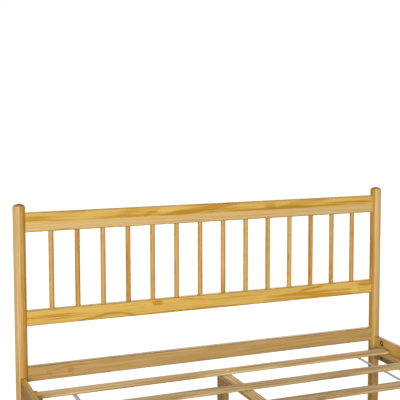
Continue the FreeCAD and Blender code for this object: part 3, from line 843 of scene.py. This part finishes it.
@dataclass(frozen=True)
class WebbingFinish:
    """Flat woven tape: warp and weft crossing under and over, with painted shade in the hollows
    between threads.
    """

    name: str
    warp: Colour
    weft: Colour
    painted_hollow_shade: Colour
    thread: float = 0.0016
    fuzz_cells: tuple[float, float, float] = (700.0, 300.0, 1.0)
    fuzz_seed: float = 5.0
    fuzz_fade: tuple[float, float] = (0.2, 0.8)
    over_fade: tuple[float, float] = (-0.25, 0.25)
    hollow_fade: tuple[float, float, float, float] = (0.0, 0.35, 0.7, 0.0)
    roughness: tuple[float, float] = (0.72, 0.95)
    sheen: float = 0.25
    relief: float = 0.0004
    relief_strength: float = 0.6

    def material(self) -> Material:
        """Make the material on the strap's own UV map, which is in metres.

        Returns:
            The material.
        """
        made, sketch, shader = new_material(self.name)
        uv = sketch.node("ShaderNodeUVMap", uv_map="tape").outputs[0]
        across, along = sketch.split(uv)[:2]
        turns = math.pi / self.thread
        warp = sketch.math("SINE", sketch.times(across, turns))
        weft = sketch.math("SINE", sketch.times(along, turns))
        over = sketch.ramp(sketch.times(warp, weft), *self.over_fade)
        ridge = sketch.times(sketch.math("ABSOLUTE", warp), sketch.math("ABSOLUTE", weft))
        # Painted shade in the hollows between threads.
        hollow = sketch.ramp(ridge, *self.hollow_fade)
        fuzz = sketch.noise(uv, self.fuzz_seed, self.fuzz_cells)[0]
        looks = {
            "Base Color": sketch.blend(hollow, sketch.blend(over, self.warp, self.weft), self.painted_hollow_shade),
            "Roughness": sketch.ramp(fuzz, *self.fuzz_fade, *self.roughness),
            "Sheen Weight": self.sheen,
            "Normal": sketch.bump(ridge, self.relief_strength, self.relief),
        }
        sketch.fill(shader, looks)
        return made


LACQUERED_PINE = WoodFinish(
    name="lacquered_pine",
    heartwood=tint(223, 184, 92),
    sapwood=tint(221, 187, 123),
    late_heartwood=tint(192, 137, 34),
    late_sapwood=tint(197, 150, 80),
    knot=tint(120, 64, 22),
    # Dark edges: gathered finish, and painted shade along the arrises.
    edge=tint(100, 66, 26),
    roughness=0.42,
    coat=0.04,
    edge_width=0.005,
    edge_share=0.72,
)
TURNED_PINE = replace(
    LACQUERED_PINE, heartwood=tint(225, 181, 98), late_heartwood=tint(194, 134, 40)
)
MATT_PINE = replace(LACQUERED_PINE, gloss=0.05, coat=0.0, edge_share=0.3)
BOLTED_PINE = replace(MATT_PINE, edge_share=0.5)
PLAIN_PINE = WoodFinish(
    name="plain_pine",
    heartwood=tint(222, 188, 130),
    sapwood=tint(224, 194, 140),
    late_heartwood=tint(156, 112, 54),
    late_sapwood=tint(170, 130, 70),
    knot=tint(96, 66, 36),
    edge=tint(130, 102, 62),
    roughness=0.68,
    coat=0.0,
    gloss=0.2,
    edge_share=0.5,
)
DOWEL_BIRCH = WoodFinish(
    name="dowel_birch",
    heartwood=tint(222, 198, 160),
    sapwood=tint(230, 208, 172),
    late_heartwood=tint(206, 178, 138),
    late_sapwood=tint(214, 188, 148),
    knot=tint(150, 110, 70),
    edge=tint(200, 172, 134),
    roughness=0.7,
    coat=0.0,
)
BOLT_STEEL = SteelFinish("bolt_steel", tint(140, 92, 66), tint(84, 44, 30), 260.0)
SCREW_STEEL = SteelFinish("screw_steel", tint(206, 204, 198), tint(172, 168, 160), 420.0)
GLIDE_NYLON = NylonFinish("glide_nylon", tint(62, 54, 46), tint(112, 102, 90))
WEBBING = WebbingFinish("webbing", tint(216, 214, 208), tint(196, 194, 188), tint(120, 118, 112))


@dataclass
class Workshop:
    """What every sub-assembly needs to dress its pieces."""

    nodes: Nodes
    effects: Effects

    def paint(self, name: str, material: Material) -> None:
        """Give a fixed piece its material.

        Args:
            name: Node's name.
            material: Material for its whole surface.
        """
        piece = self.nodes[name]
        if not piece.material_slots:
            piece.data.materials.append(None)
        for place in piece.material_slots:
            place.material = material
        LOG.info(LOG_ROW, name, material.name, len(piece.data.polygons))

    def saw(self, name: str, finish: WoodFinish, lie: Lie, timber: Union[Cut, Timber]) -> None:
        """Give a fixed wooden piece its own grain.

        Args:
            name: Node's name.
            finish: Wood finish.
            lie: Which way the grain runs.
            timber: How the piece was sawn, in one cut or in glued strips.
        """
        if isinstance(timber, Cut):
            timber = Timber((timber,))
        self.paint(name, finish.material(self.effects, name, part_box(name), lie, timber))


# Rows: along, across, half length, half height, then slant, strength, core, into and depth
# where they matter.
FLAME, PALE, ARCH, WOOD_TONE_AND_PAINTED_SHADE = Figure
TOP_UPPER_MARKS = (
    *marks(
        FLAME,
        (-0.735, 0.014, 0.085, 0.018, 0.0, 0.55), (-0.65, 0.004, 0.11, 0.006, -0.03, 0.5),
        (-0.56, 0.032, 0.14, 0.003), (-0.32, 0.014, 0.1, 0.032, 0.05, 0.45, 0.4),
        (-0.262, 0.015, 0.045, 0.012, 0.45, 0.6, 0.4), (-0.06, 0.016, 0.21, 0.013, 0.09, 0.9, 0.6),
        (-0.15, 0.004, 0.09, 0.006, 0.05, 0.5, 0.5), (0.03, 0.008, 0.18, 0.008, 0.05, 0.45, 0.4),
        (0.0, 0.035, 0.17, 0.003, 0.0, 0.8), (0.165, 0.003, 0.14, 0.008, 0.0, 0.6, 0.4),
        (0.262, 0.017, 0.036, 0.02, 0.0, 0.7, 0.4), (0.37, 0.003, 0.15, 0.01, 0.0, 1.0, 0.5),
        (0.4, 0.016, 0.15, 0.014, 0.06, 0.5, 0.4), (0.47, 0.03, 0.12, 0.004, -0.05, 0.6, 0.4),
        (0.64, 0.01, 0.19, 0.01, 0.0, 0.6, 0.4), (0.6, 0.003, 0.2, 0.004, 0.0, 0.5, 0.4),
    ),
    *marks(
        PALE,
        (-0.185, 0.019, 0.06, 0.014, 0.3, 0.4), (-0.06, 0.001, 0.1, 0.004, 0.08, 0.4),
        (0.335, 0.021, 0.03, 0.008, 0.0, 0.4), (0.62, 0.024, 0.15, 0.006, 0.0, 0.3),
    ),
)
TOP_LOWER_MARKS = (
    *marks(
        ARCH,
        (-0.49, -0.02, 0.125, 0.05, 0.0, -0.02, 0.3), (0.1, -0.02, 0.2, 0.02, 0.0, 0.006),
    ),
    *marks(FLAME, (-0.61, -0.034, 0.065, 0.007, 0.0, 1.2, 0.4)),
)
MIDDLE_UPPER_MARKS = (
    *marks(
        FLAME,
        (-0.238, 0.014, 0.036, 0.013, 0.0, 1.2, 0.6), (-0.07, 0.016, 0.11, 0.006, -0.14, 0.6, 0.4),
        (0.1, 0.009, 0.15, 0.005, 0.0, 0.45, 0.4), (0.455, 0.015, 0.09, 0.008, 0.17, 1.0, 0.5),
        (0.735, 0.015, 0.07, 0.018, 0.0, 0.9, 0.4), (-0.66, 0.005, 0.15, 0.004, 0.0, 0.7, 0.4),
    ),
    *marks(WOOD_TONE_AND_PAINTED_SHADE, (-0.256, 0.014, 0.012, 0.012, 0.0, 0.1)),
    *marks(
        PALE,
        (-0.208, 0.016, 0.022, 0.008, 0.0, 1.2, 0.4), (-0.17, 0.018, 0.035, 0.012, 0.0, 0.4),
        (0.605, 0.018, 0.055, 0.013, 0.0, 0.5),
    ),
    *marks(ARCH, (-0.24, 0.015, 0.09, 0.04, 0.0, 0.01)),
)
MIDDLE_LOWER_MARKS = (
    *marks(
        FLAME,
        (-0.505, -0.019, 0.09, 0.005, 0.14, 1.1, 0.4), (-0.425, -0.01, 0.045, 0.005, 0.0, 1.1, 0.4),
        (-0.355, -0.019, 0.065, 0.005, -0.2, 1.1, 0.4), (-0.7, -0.001, 0.13, 0.004, 0.0, 1.0, 0.4),
        (-0.62, -0.007, 0.15, 0.003, 0.08, 0.8), (-0.09, -0.024, 0.3, 0.005, 0.0, 1.1, 0.4),
        (0.49, -0.002, 0.32, 0.006, 0.0, 1.0, 0.4), (0.48, -0.012, 0.3, 0.006, -0.02, 0.8, 0.4),
        (0.54, -0.023, 0.29, 0.006, -0.01, 1.1, 0.4), (0.3, -0.017, 0.13, 0.003, 0.02, 0.8),
    ),
    *marks(
        PALE,
        (0.222, -0.007, 0.024, 0.022), (0.67, -0.01, 0.026, 0.02, 0.0, 1.2, 0.4),
    ),
)
LOW_MARKS = marks(
    FLAME,
    (-0.575, 0.015, 0.065, 0.005, 0.0, 1.3, 0.4), (-0.602, -0.001, 0.017, 0.017, 0.0, 0.9, 0.4),
    (-0.675, -0.003, 0.01, 0.016, 0.0, 0.6), (-0.64, 0.007, 0.05, 0.004, 0.2),
)
LEFT_POST_MARKS = (
    *marks(
        FLAME,
        (0.0, 0.024, 1.5, 0.011, 0.0, 0.8, 0.3), (0.0, 0.005, 1.5, 0.022, 0.0, 0.75, 0.3),
        (-0.4, 0.0, 0.5, 0.1, 0.0, 0.6, 0.3), (-0.1, 0.004, 0.3, 0.005, 0.0, 0.5),
    ),
    *marks(PALE, (-0.15, -0.012, 0.4, 0.004, 0.0, 0.4)),
)
RIGHT_POST_MARKS = marks(
    FLAME,
    (0.0, -0.0235, 1.5, 0.012, 0.0, 0.8, 0.5), (-0.4, 0.0, 0.5, 0.1, 0.0, 0.3, 0.3),
)
# Painted shade on the outer face, with amber on the same face; painted light on the top at the head
# end; a darker slanting line in the grain.
LEFT_RAIL_MARKS = (
    *marks(
        WOOD_TONE_AND_PAINTED_SHADE,
        (0.0, -0.03, 4.0, 0.075, 0.0, 0.36, 0.93, -0.009, 0.015),
        (0.985, 0.0155, 0.075, 0.004, 0.416, 0.25, 0.4), (0.99, 0.05, 0.08, 0.008, 0.0, -0.2, 0.5),
    ),
    *marks(
        FLAME,
        (0.0, -0.03, 4.0, 0.075, 0.0, 0.3, 0.93, -0.009, 0.015),
        (0.93, 0.01, 0.12, 0.006, 0.12, 0.5),
    ),
)
# Painted shade along the outer top arris, painted shadow on the inner face under the ledger, and a
# lighter patch near the head end.
RIGHT_RAIL_PAINTED_SHADE_MARKS = marks(
    WOOD_TONE_AND_PAINTED_SHADE,
    (0.0, 0.05, 4.0, 0.008, 0.0, 0.75, 0.6, 0.01, 0.008),
    (0.0, -0.034, 4.0, 0.022, 0.0, 0.3, 0.8, -0.009, 0.008),
    (0.895, 0.0, 0.06, 0.1, 0.0, -0.12, 0.5),
)
# Painted shade on the lower half of both side faces and on the underside.
LEDGER_PAINTED_SHADE_MARKS = marks(
    WOOD_TONE_AND_PAINTED_SHADE,
    (0.0, -0.009, 4.0, 0.009, 0.0, 0.4, 0.6),
)
# Three small dark knots; painted shadow at both ends, where the slat meets the rails; darker over
# the right half.
FIRST_SLAT_MARKS = marks(
    WOOD_TONE_AND_PAINTED_SHADE,
    (0.004, 0.015, 0.005, 0.003, 0.0, 0.3, 0.5), (0.036, -0.013, 0.006, 0.003, 0.0, 0.35, 0.5),
    (-0.468, -0.014, 0.006, 0.003, 0.0, 0.3, 0.5), (-0.766, 0.01, 0.012, 0.02, 0.0, 0.4),
    (0.772, 0.0, 0.01, 0.1, 0.0, 0.4, 0.5), (0.45, 0.0, 0.45, 1.0, 0.0, 0.13, 0.6),
)
SECOND_SLAT_MARKS = (
    *marks(
        FLAME,
        (0.457, 0.017, 0.06, 0.008, 0.0, 1.0, 0.4), (0.15, 0.01, 0.09, 0.003, 0.0, 0.6),
        (0.0, 0.0, 4.0, 1.0, 0.0, 0.1, 0.9),
    ),
    # Painted shade on the front face.
    *marks(WOOD_TONE_AND_PAINTED_SHADE, (0.17, -0.026, 0.4, 0.006, 0.0, 0.25, 0.5)),
)
THIRD_SLAT_MARKS = (
    *marks(WOOD_TONE_AND_PAINTED_SHADE, (0.2, -0.0245, 0.035, 0.004, 0.0, 0.3)),
    *marks(
        FLAME,
        (0.3, 0.006, 0.14, 0.003), (0.0, 0.0, 4.0, 1.0, 0.0, 0.22, 0.9),
    ),
)


@dataclass
class Headboard:
    """Two tall posts, three rails and the row of spindles."""

    spindle_tones: tuple[float, ...] = (
        1.0, 0.98, 0.98, 1.03, 1.03, 1.0, 0.98, 0.97, 1.02, 1.0, 1.02, 0.96, 0.96, 1.03,
    )
    spindle_ambers: tuple[float, ...] = (
        0.3, 0.75, 0.15, 0.45, 0.3, 0.15, 0.3, 0.15, 0.1, 0.15, 0.05, 0.5, 0.5, 0.35,
    )
    spindle_cut: Cut = Cut(seed=31.0, heart=1.0, figure=0.6, streaks=0.6, knots=0.06, wander=0.012)
    spindle_seed_step: float = 3.7
    spindle_pith: float = 0.018
    spindle_pith_turn: float = 2.4
    top_timber: Timber = Timber(
        (
            Cut(
                seed=4.2, pith=(0.02, 0.09), heart=1.0, figure=0.4, streaks=0.5,
                marks=TOP_UPPER_MARKS,
            ),
            Cut(
                seed=6.9, pith=(-0.05, 0.03), heart=0.0, ring=0.011, figure=0.6,
                marks=TOP_LOWER_MARKS,
            ),
        ),
        seams=(-0.002,),
    )
    middle_timber: Timber = Timber(
        (
            Cut(
                seed=9.1, pith=(0.05, 0.06), heart=1.0, figure=0.35, streaks=0.25, tone=1.04,
                marks=MIDDLE_UPPER_MARKS,
            ),
            Cut(
                seed=9.6, pith=(-0.1, 0.03), heart=1.0, ring=0.01, figure=0.45, streaks=0.4,
                tone=1.04, marks=MIDDLE_LOWER_MARKS,
            ),
        ),
        seams=(0.002,),
    )
    low_cut: Cut = Cut(
        seed=2.7, pith=(0.01, -0.06), heart=0.0, figure=0.2, streaks=0.1, amber=0.47, tone=0.81,
        marks=LOW_MARKS,
    )
    post_cuts: tuple[Cut, ...] = (
        Cut(
            seed=11.3, pith=(0.04, -0.01), lean=(0.0, 0.0), heart=0.036, figure=0.6, streaks=0.4,
            wander=0.014, tone=1.03, marks=LEFT_POST_MARKS,
        ),
        Cut(
            seed=17.8, pith=(-0.03, -0.005), lean=(0.0, 0.0), heart=0.018, figure=0.6, streaks=0.4,
            wander=0.014, amber=0.15, marks=RIGHT_POST_MARKS,
        ),
    )

    def dress(self, shop: Workshop) -> None:
        """Give each piece its grain.

        Args:
            shop: Nodes and shared effects.
        """
        shop.saw("headboard_top_rail", LACQUERED_PINE, Lie.RAIL_ACROSS, self.top_timber)
        shop.saw("headboard_middle_rail", LACQUERED_PINE, Lie.RAIL_ACROSS, self.middle_timber)
        shop.saw("headboard_low_rail", LACQUERED_PINE, Lie.RAIL_ACROSS, self.low_cut)
        for hand, cut in zip(("left", "right"), self.post_cuts):
            shop.saw("head_post_" + hand, LACQUERED_PINE, Lie.UPRIGHT, cut)
        for index, (tone, amber) in enumerate(zip(self.spindle_tones, self.spindle_ambers)):
            turn = self.spindle_pith_turn * index
            cut = replace(
                self.spindle_cut,
                seed=self.spindle_cut.seed + self.spindle_seed_step * index,
                pith=(self.spindle_pith * math.cos(turn), self.spindle_pith * math.sin(turn)),
                amber=amber,
                tone=tone,
            )
            shop.saw("spindle_%02d" % (index + 1), TURNED_PINE, Lie.UPRIGHT, cut)


@dataclass
class SideRails:
    """Left and right rail, bolted between the head and foot posts."""

    cuts: tuple[Cut, ...] = (
        Cut(seed=51.0, heart=1.0, figure=0.5, amber=0.25, tone=0.92, marks=LEFT_RAIL_MARKS),
        Cut(
            seed=57.0, pith=(-0.01, -0.06), heart=0.055, figure=0.4, amber=0.08, tone=0.97,
            marks=RIGHT_RAIL_PAINTED_SHADE_MARKS,
        ),
    )
    finishes: tuple[WoodFinish, ...] = (MATT_PINE, BOLTED_PINE)

    def dress(self, shop: Workshop) -> None:
        """Give both rails their grain."""
        for hand, cut, finish in zip(("left", "right"), self.cuts, self.finishes):
            shop.saw("side_rail_" + hand, finish, Lie.RAIL_ALONG, cut)


@dataclass
class FootEnd:
    """Two short posts and the foot rail."""

    rail_cut: Cut = Cut(seed=71.0, pith=(0.05, 0.04), heart=0.06, figure=0.9, knots=0.03)
    post_cuts: tuple[Cut, ...] = (
        Cut(seed=73.0, pith=(0.03, 0.02), heart=0.03, figure=0.6),
        Cut(seed=79.0, pith=(-0.02, 0.03), heart=0.03, figure=0.6),
    )

    def dress(self, shop: Workshop) -> None:
        """Give each piece its grain.

        Args:
            shop: Nodes and shared effects.
        """
        shop.saw("foot_rail", LACQUERED_PINE, Lie.RAIL_ACROSS, self.rail_cut)
        for hand, cut in zip(("left", "right"), self.post_cuts):
            shop.saw("foot_post_" + hand, LACQUERED_PINE, Lie.UPRIGHT, cut)


@dataclass
class SlatDeck:
    """Slats, the ledgers and centre beam that bear them, and the beam's legs."""

    slat_tones: tuple[float, ...] = (1.11, 0.99, 0.94, 0.97, 1.03, 0.93, 1.0, 0.95, 1.04, 0.97)
    slat_marks: tuple[tuple[Mark, ...], ...] = (
        FIRST_SLAT_MARKS, SECOND_SLAT_MARKS, THIRD_SLAT_MARKS,
    )
    slat_cut: Cut = Cut(seed=101.0, heart=0.03, ring=0.009, figure=0.7, streaks=0.9, knots=0.06)
    slat_seed_step: float = 5.3
    slat_pith_sway: float = 0.02
    slat_pith_turn: float = 1.9
    slat_pith_depth: float = -0.03
    slat_pith_step: float = -0.012
    slat_pith_cycle: int = 3
    ledger_cuts: tuple[Cut, ...] = (
        Cut(seed=161.0, amber=0.2, tone=1.02, marks=LEDGER_PAINTED_SHADE_MARKS),
        Cut(seed=167.0, amber=0.2, tone=1.02, marks=LEDGER_PAINTED_SHADE_MARKS),
    )
    beam_cut: Cut = Cut(seed=173.0, pith=(0.03, 0.04), tone=1.07)
    # Amber for colour; the darker tone is painted shade for the legs' place under the deck.
    leg_cut: Cut = Cut(seed=181.0, pith=(0.03, 0.03), streaks=0.7, amber=0.25, tone=0.84)
    leg_seed_step: float = 4.1
    leg_count: int = 4

    def dress(self, shop: Workshop) -> None:
        """Give each piece its grain.

        Args:
            shop: Nodes and shared effects.
        """
        for index, tone in enumerate(self.slat_tones):
            depth = self.slat_pith_depth + self.slat_pith_step * (index % self.slat_pith_cycle)
            cut = replace(
                self.slat_cut,
                seed=self.slat_cut.seed + self.slat_seed_step * index,
                pith=(self.slat_pith_sway * math.sin(self.slat_pith_turn * index), depth),
                tone=tone,
                marks=self.slat_marks[index] if index < len(self.slat_marks) else (),
            )
            shop.saw("slat_%02d" % (index + 1), PLAIN_PINE, Lie.SLAT_ACROSS, cut)
        for hand, cut in zip(("left", "right"), self.ledger_cuts):
            shop.saw("slat_ledger_" + hand, PLAIN_PINE, Lie.RAIL_ALONG, cut)
        shop.saw("centre_beam", PLAIN_PINE, Lie.BOARD_ALONG, self.beam_cut)
        for index in range(self.leg_count):
            cut = replace(self.leg_cut, seed=self.leg_cut.seed + self.leg_seed_step * index)
            shop.saw("centre_leg_%d" % (index + 1), PLAIN_PINE, Lie.UPRIGHT, cut)


@dataclass
class WebbingStraps:
    """Two woven tapes under the slats, slack between one slat and the next."""

    width: float = 0.016
    thickness: float = 0.0012
    sag: float = 0.0022
    steps_per_bay: int = 12
    steps_at_ends: int = 4
    threads_across: int = 4
    slat_count: int = 10

    def build(self, material: Material) -> None:
        """Make both straps of one material."""
        for hand in ("left", "right"):
            self._strap(hand, material)

    def _strap(self, hand: str, material: Material) -> None:
        """Make one strap in the place of its plain solid.

        Args:
            hand: Left or right.
            material: Webbing material.
        """
        low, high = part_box("slat_strap_" + hand)
        slats = [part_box("slat_%02d" % (index + 1)) for index in range(self.slat_count)]
        middle = (low.x + high.x) / 2
        length = high.y - low.y
        work = bmesh.new()
        rows = self.steps_per_bay * (self.slat_count - 1) + self.steps_at_ends
        bmesh.ops.create_grid(work, x_segments=self.threads_across, y_segments=rows, size=0.5)
        bmesh.ops.scale(work, vec=(self.width, length, 1.0), verts=work.verts)
        bmesh.ops.translate(work, vec=(middle, 0.0, high.z - self.thickness), verts=work.verts)
        for vert in work.verts:
            vert.co.z -= self._slack(vert.co.y, slats)
        bmesh.ops.recalc_face_normals(work, faces=work.faces)
        sheet = work.faces[:] + work.edges[:] + work.verts[:]
        bmesh.ops.solidify(work, geom=sheet, thickness=-self.thickness)
        bmesh.ops.recalc_face_normals(work, faces=work.faces)
        tape = work.loops.layers.uv.new("tape")
        for face in work.faces:
            for loop in face.loops:
                loop[tape].uv = (loop.vert.co.x - middle, loop.vert.co.y)
        mesh = bpy.data.meshes.new("webbing_strap_" + hand)
        work.to_mesh(mesh)
        work.free()
        strap = put(mesh.name, mesh)
        mesh.materials.append(material)
        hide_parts("slat_strap_" + hand)
        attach(strap, "root")
        LOG.info(LOG_ROW, strap.name, material.name, len(mesh.polygons))

    def _slack(self, y: float, slats: list[tuple[Vector, Vector]]) -> float:
        """Say how far the strap hangs below the slats at one place.

        Args:
            y: Place along the bed.
            slats: Each slat's corners, from the headboard to the foot.

        Returns:
            Drop in metres, none under a slat.
        """
        for nearer, farther in zip(slats, slats[1:]):
            top, bottom = nearer[0].y, farther[1].y
            if bottom < y < top:
                return self.sag * math.sin(math.pi * (y - bottom) / (top - bottom)) ** 2
        return 0.0


@dataclass
class Hardware:
    """Bolts, nuts, washers, screws, staples, dowels and glides."""

    browned_nodes: tuple[str, ...] = ("bed_bolts", "half_moon_washers")
    plated_nodes: tuple[str, ...] = (
        "bed_nuts", "ledger_screws", "slat_screws", "leg_screws", "strap_staples",
    )
    nylon_nodes: tuple[str, ...] = ("post_glides", "leg_glides")
    dowel_lies: tuple[tuple[str, Lie], ...] = (
        ("side_rail_dowels", Lie.RAIL_ALONG),
        ("cross_rail_dowels", Lie.RAIL_ACROSS),
    )
    dowel_cut: Cut = Cut(seed=211.0, ring=0.002, figure=0.4)

    def dress(self, shop: Workshop) -> None:
        """Give each group of fittings its material.

        Args:
            shop: Nodes and shared effects.
        """
        looks = (
            (BOLT_STEEL.material(shop.effects), self.browned_nodes),
            (SCREW_STEEL.material(shop.effects), self.plated_nodes),
            (GLIDE_NYLON.material(), self.nylon_nodes),
        )
        for material, names in looks:
            for name in names:
                shop.paint(name, material)
        for name, lie in self.dowel_lies:
            shop.saw(name, DOWEL_BIRCH, lie, self.dowel_cut)


@dataclass(frozen=True)
class Lamp:
    """One square soft lamp: where it hangs, the side of its square and its watts."""

    name: str
    place: tuple[float, float, float]
    size: float
    power: float


@dataclass
class Studio:
    """Pale floor, white surround, soft lamps and the camera."""

    floor_size: float = 60.0
    floor_bounce: float = 0.32
    floor_veil: float = 0.3
    floor_glow: float = 0.92
    ambient: float = 0.3
    lamps: tuple[Lamp, ...] = (
        Lamp("key", (-4.6, -9.6, 3.0), 4.2, 1030.0),
        Lamp("back", (4.0, 7.0, 5.6), 4.0, 300.0),
    )
    lamp_aim: tuple[float, float, float] = (0.0, 0.7, 0.5)
    camera_place: tuple[float, float, float] = (-1.3997, -2.3684, 1.4101)
    camera_yaw: float = 0.3922
    camera_pitch: float = 0.08503
    camera_roll: float = -0.0007
    camera_reach: float = 200.0
    focal_pixels: float = 910.445
    centre_pixels: tuple[float, float] = (215.0, 170.0)
    picture_pixels: float = 400.0
    sensor: float = 36.0

    def build(self) -> None:
        """Make the whole studio."""
        self._floor()
        self._world()
        for lamp in self.lamps:
            self._lamp(lamp)
        self._camera()
        bpy.context.scene.view_settings.view_transform = "Standard"

    def _choose(self, sketch: Sketch, lighting: bpy.types.Node, seen: bpy.types.Node) -> Socket:
        """Show one shader to the rays that light, and another to those that look.

        Args:
            sketch: Sketch on the tree.
            lighting: Shader for the rays that light the bed.
            seen: Shader for rays that look straight, by reflection or through glass.

        Returns:
            The mixed shader.
        """
        path = sketch.node("ShaderNodeLightPath").outputs
        looking = sketch.math("MAXIMUM", path["Is Camera Ray"], path["Is Glossy Ray"])
        looking = sketch.math("MAXIMUM", looking, path["Is Transmission Ray"])
        feeds = {0: looking, 1: lighting.outputs[0], 2: seen.outputs[0]}
        return sketch.node("ShaderNodeMixShader", feeds).outputs[0]

    def _floor(self) -> None:
        """Lay a plain pale floor that reads as white and keeps a soft shadow."""
        work = bmesh.new()
        bmesh.ops.create_grid(work, x_segments=1, y_segments=1, size=self.floor_size / 2)
        mesh = bpy.data.meshes.new("studio_floor")
        work.to_mesh(mesh)
        work.free()
        floor = put("studio_floor", mesh)
        made, sketch, _ = new_material("studio_floor")
        made.node_tree.nodes.clear()
        bounce, veil = (
            sketch.node("ShaderNodeBsdfDiffuse", {"Color": (level, level, level, 1.0)})
            for level in (self.floor_bounce, self.floor_veil)
        )
        glow = sketch.node("ShaderNodeEmission", {"Strength": self.floor_glow})
        both = sketch.node("ShaderNodeAddShader", {0: veil.outputs[0], 1: glow.outputs[0]})
        sketch.node("ShaderNodeOutputMaterial", {"Surface": self._choose(sketch, bounce, both)})
        mesh.materials.append(made)

    def _world(self) -> None:
        """Surround the scene with white, dimmer where it lights the bed."""
        world = bpy.data.worlds.new("studio")
        bpy.context.scene.world = world
        world.use_nodes = True
        world.node_tree.nodes.clear()
        sketch = Sketch(world.node_tree)
        dim, white = (
            sketch.node("ShaderNodeBackground", {"Color": WHITE, "Strength": level})
            for level in (self.ambient, 1.0)
        )
        sketch.node("ShaderNodeOutputWorld", {"Surface": self._choose(sketch, dim, white)})

    def _lamp(self, lamp: Lamp) -> None:
        """Hang one lamp, turned to the bed.

        Args:
            lamp: The lamp.
        """
        light = bpy.data.lights.new(lamp.name, "AREA")
        light.shape, light.size, light.energy = "SQUARE", lamp.size, lamp.power
        made = put(lamp.name, light)
        made.location = lamp.place
        aim = Vector(self.lamp_aim) - Vector(lamp.place)
        made.rotation_euler = aim.to_track_quat("-Z", "Y").to_euler()

    def _camera(self) -> None:
        """Set the camera as the picture was taken."""
        data = bpy.data.cameras.new("camera")
        data.sensor_width = self.sensor
        data.lens = self.focal_pixels * self.sensor / self.picture_pixels
        data.shift_x = (self.picture_pixels / 2 - self.centre_pixels[0]) / self.picture_pixels
        data.shift_y = (self.centre_pixels[1] - self.picture_pixels / 2) / self.picture_pixels
        data.clip_end = self.camera_reach
        camera = put("camera", data)
        camera.location = self.camera_place
        aim = Euler((math.pi / 2 - self.camera_pitch, 0.0, -self.camera_yaw), "XYZ").to_matrix()
        camera.rotation_euler = (aim @ Matrix.Rotation(self.camera_roll, 3, "Z")).to_euler()
        bpy.context.scene.camera = camera


def main() -> None:
    """Dress the frame, add what is woven and set up the studio."""
    logging.basicConfig(level=logging.INFO, format="%(name)s: %(message)s")
    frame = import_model()
    shop = Workshop(nodes=frame["nodes"], effects=Effects())
    Headboard().dress(shop)
    SideRails().dress(shop)
    FootEnd().dress(shop)
    SlatDeck().dress(shop)
    WebbingStraps().build(WEBBING.material())
    Hardware().dress(shop)
    Studio().build()


if __name__ == "__main__":
    main()
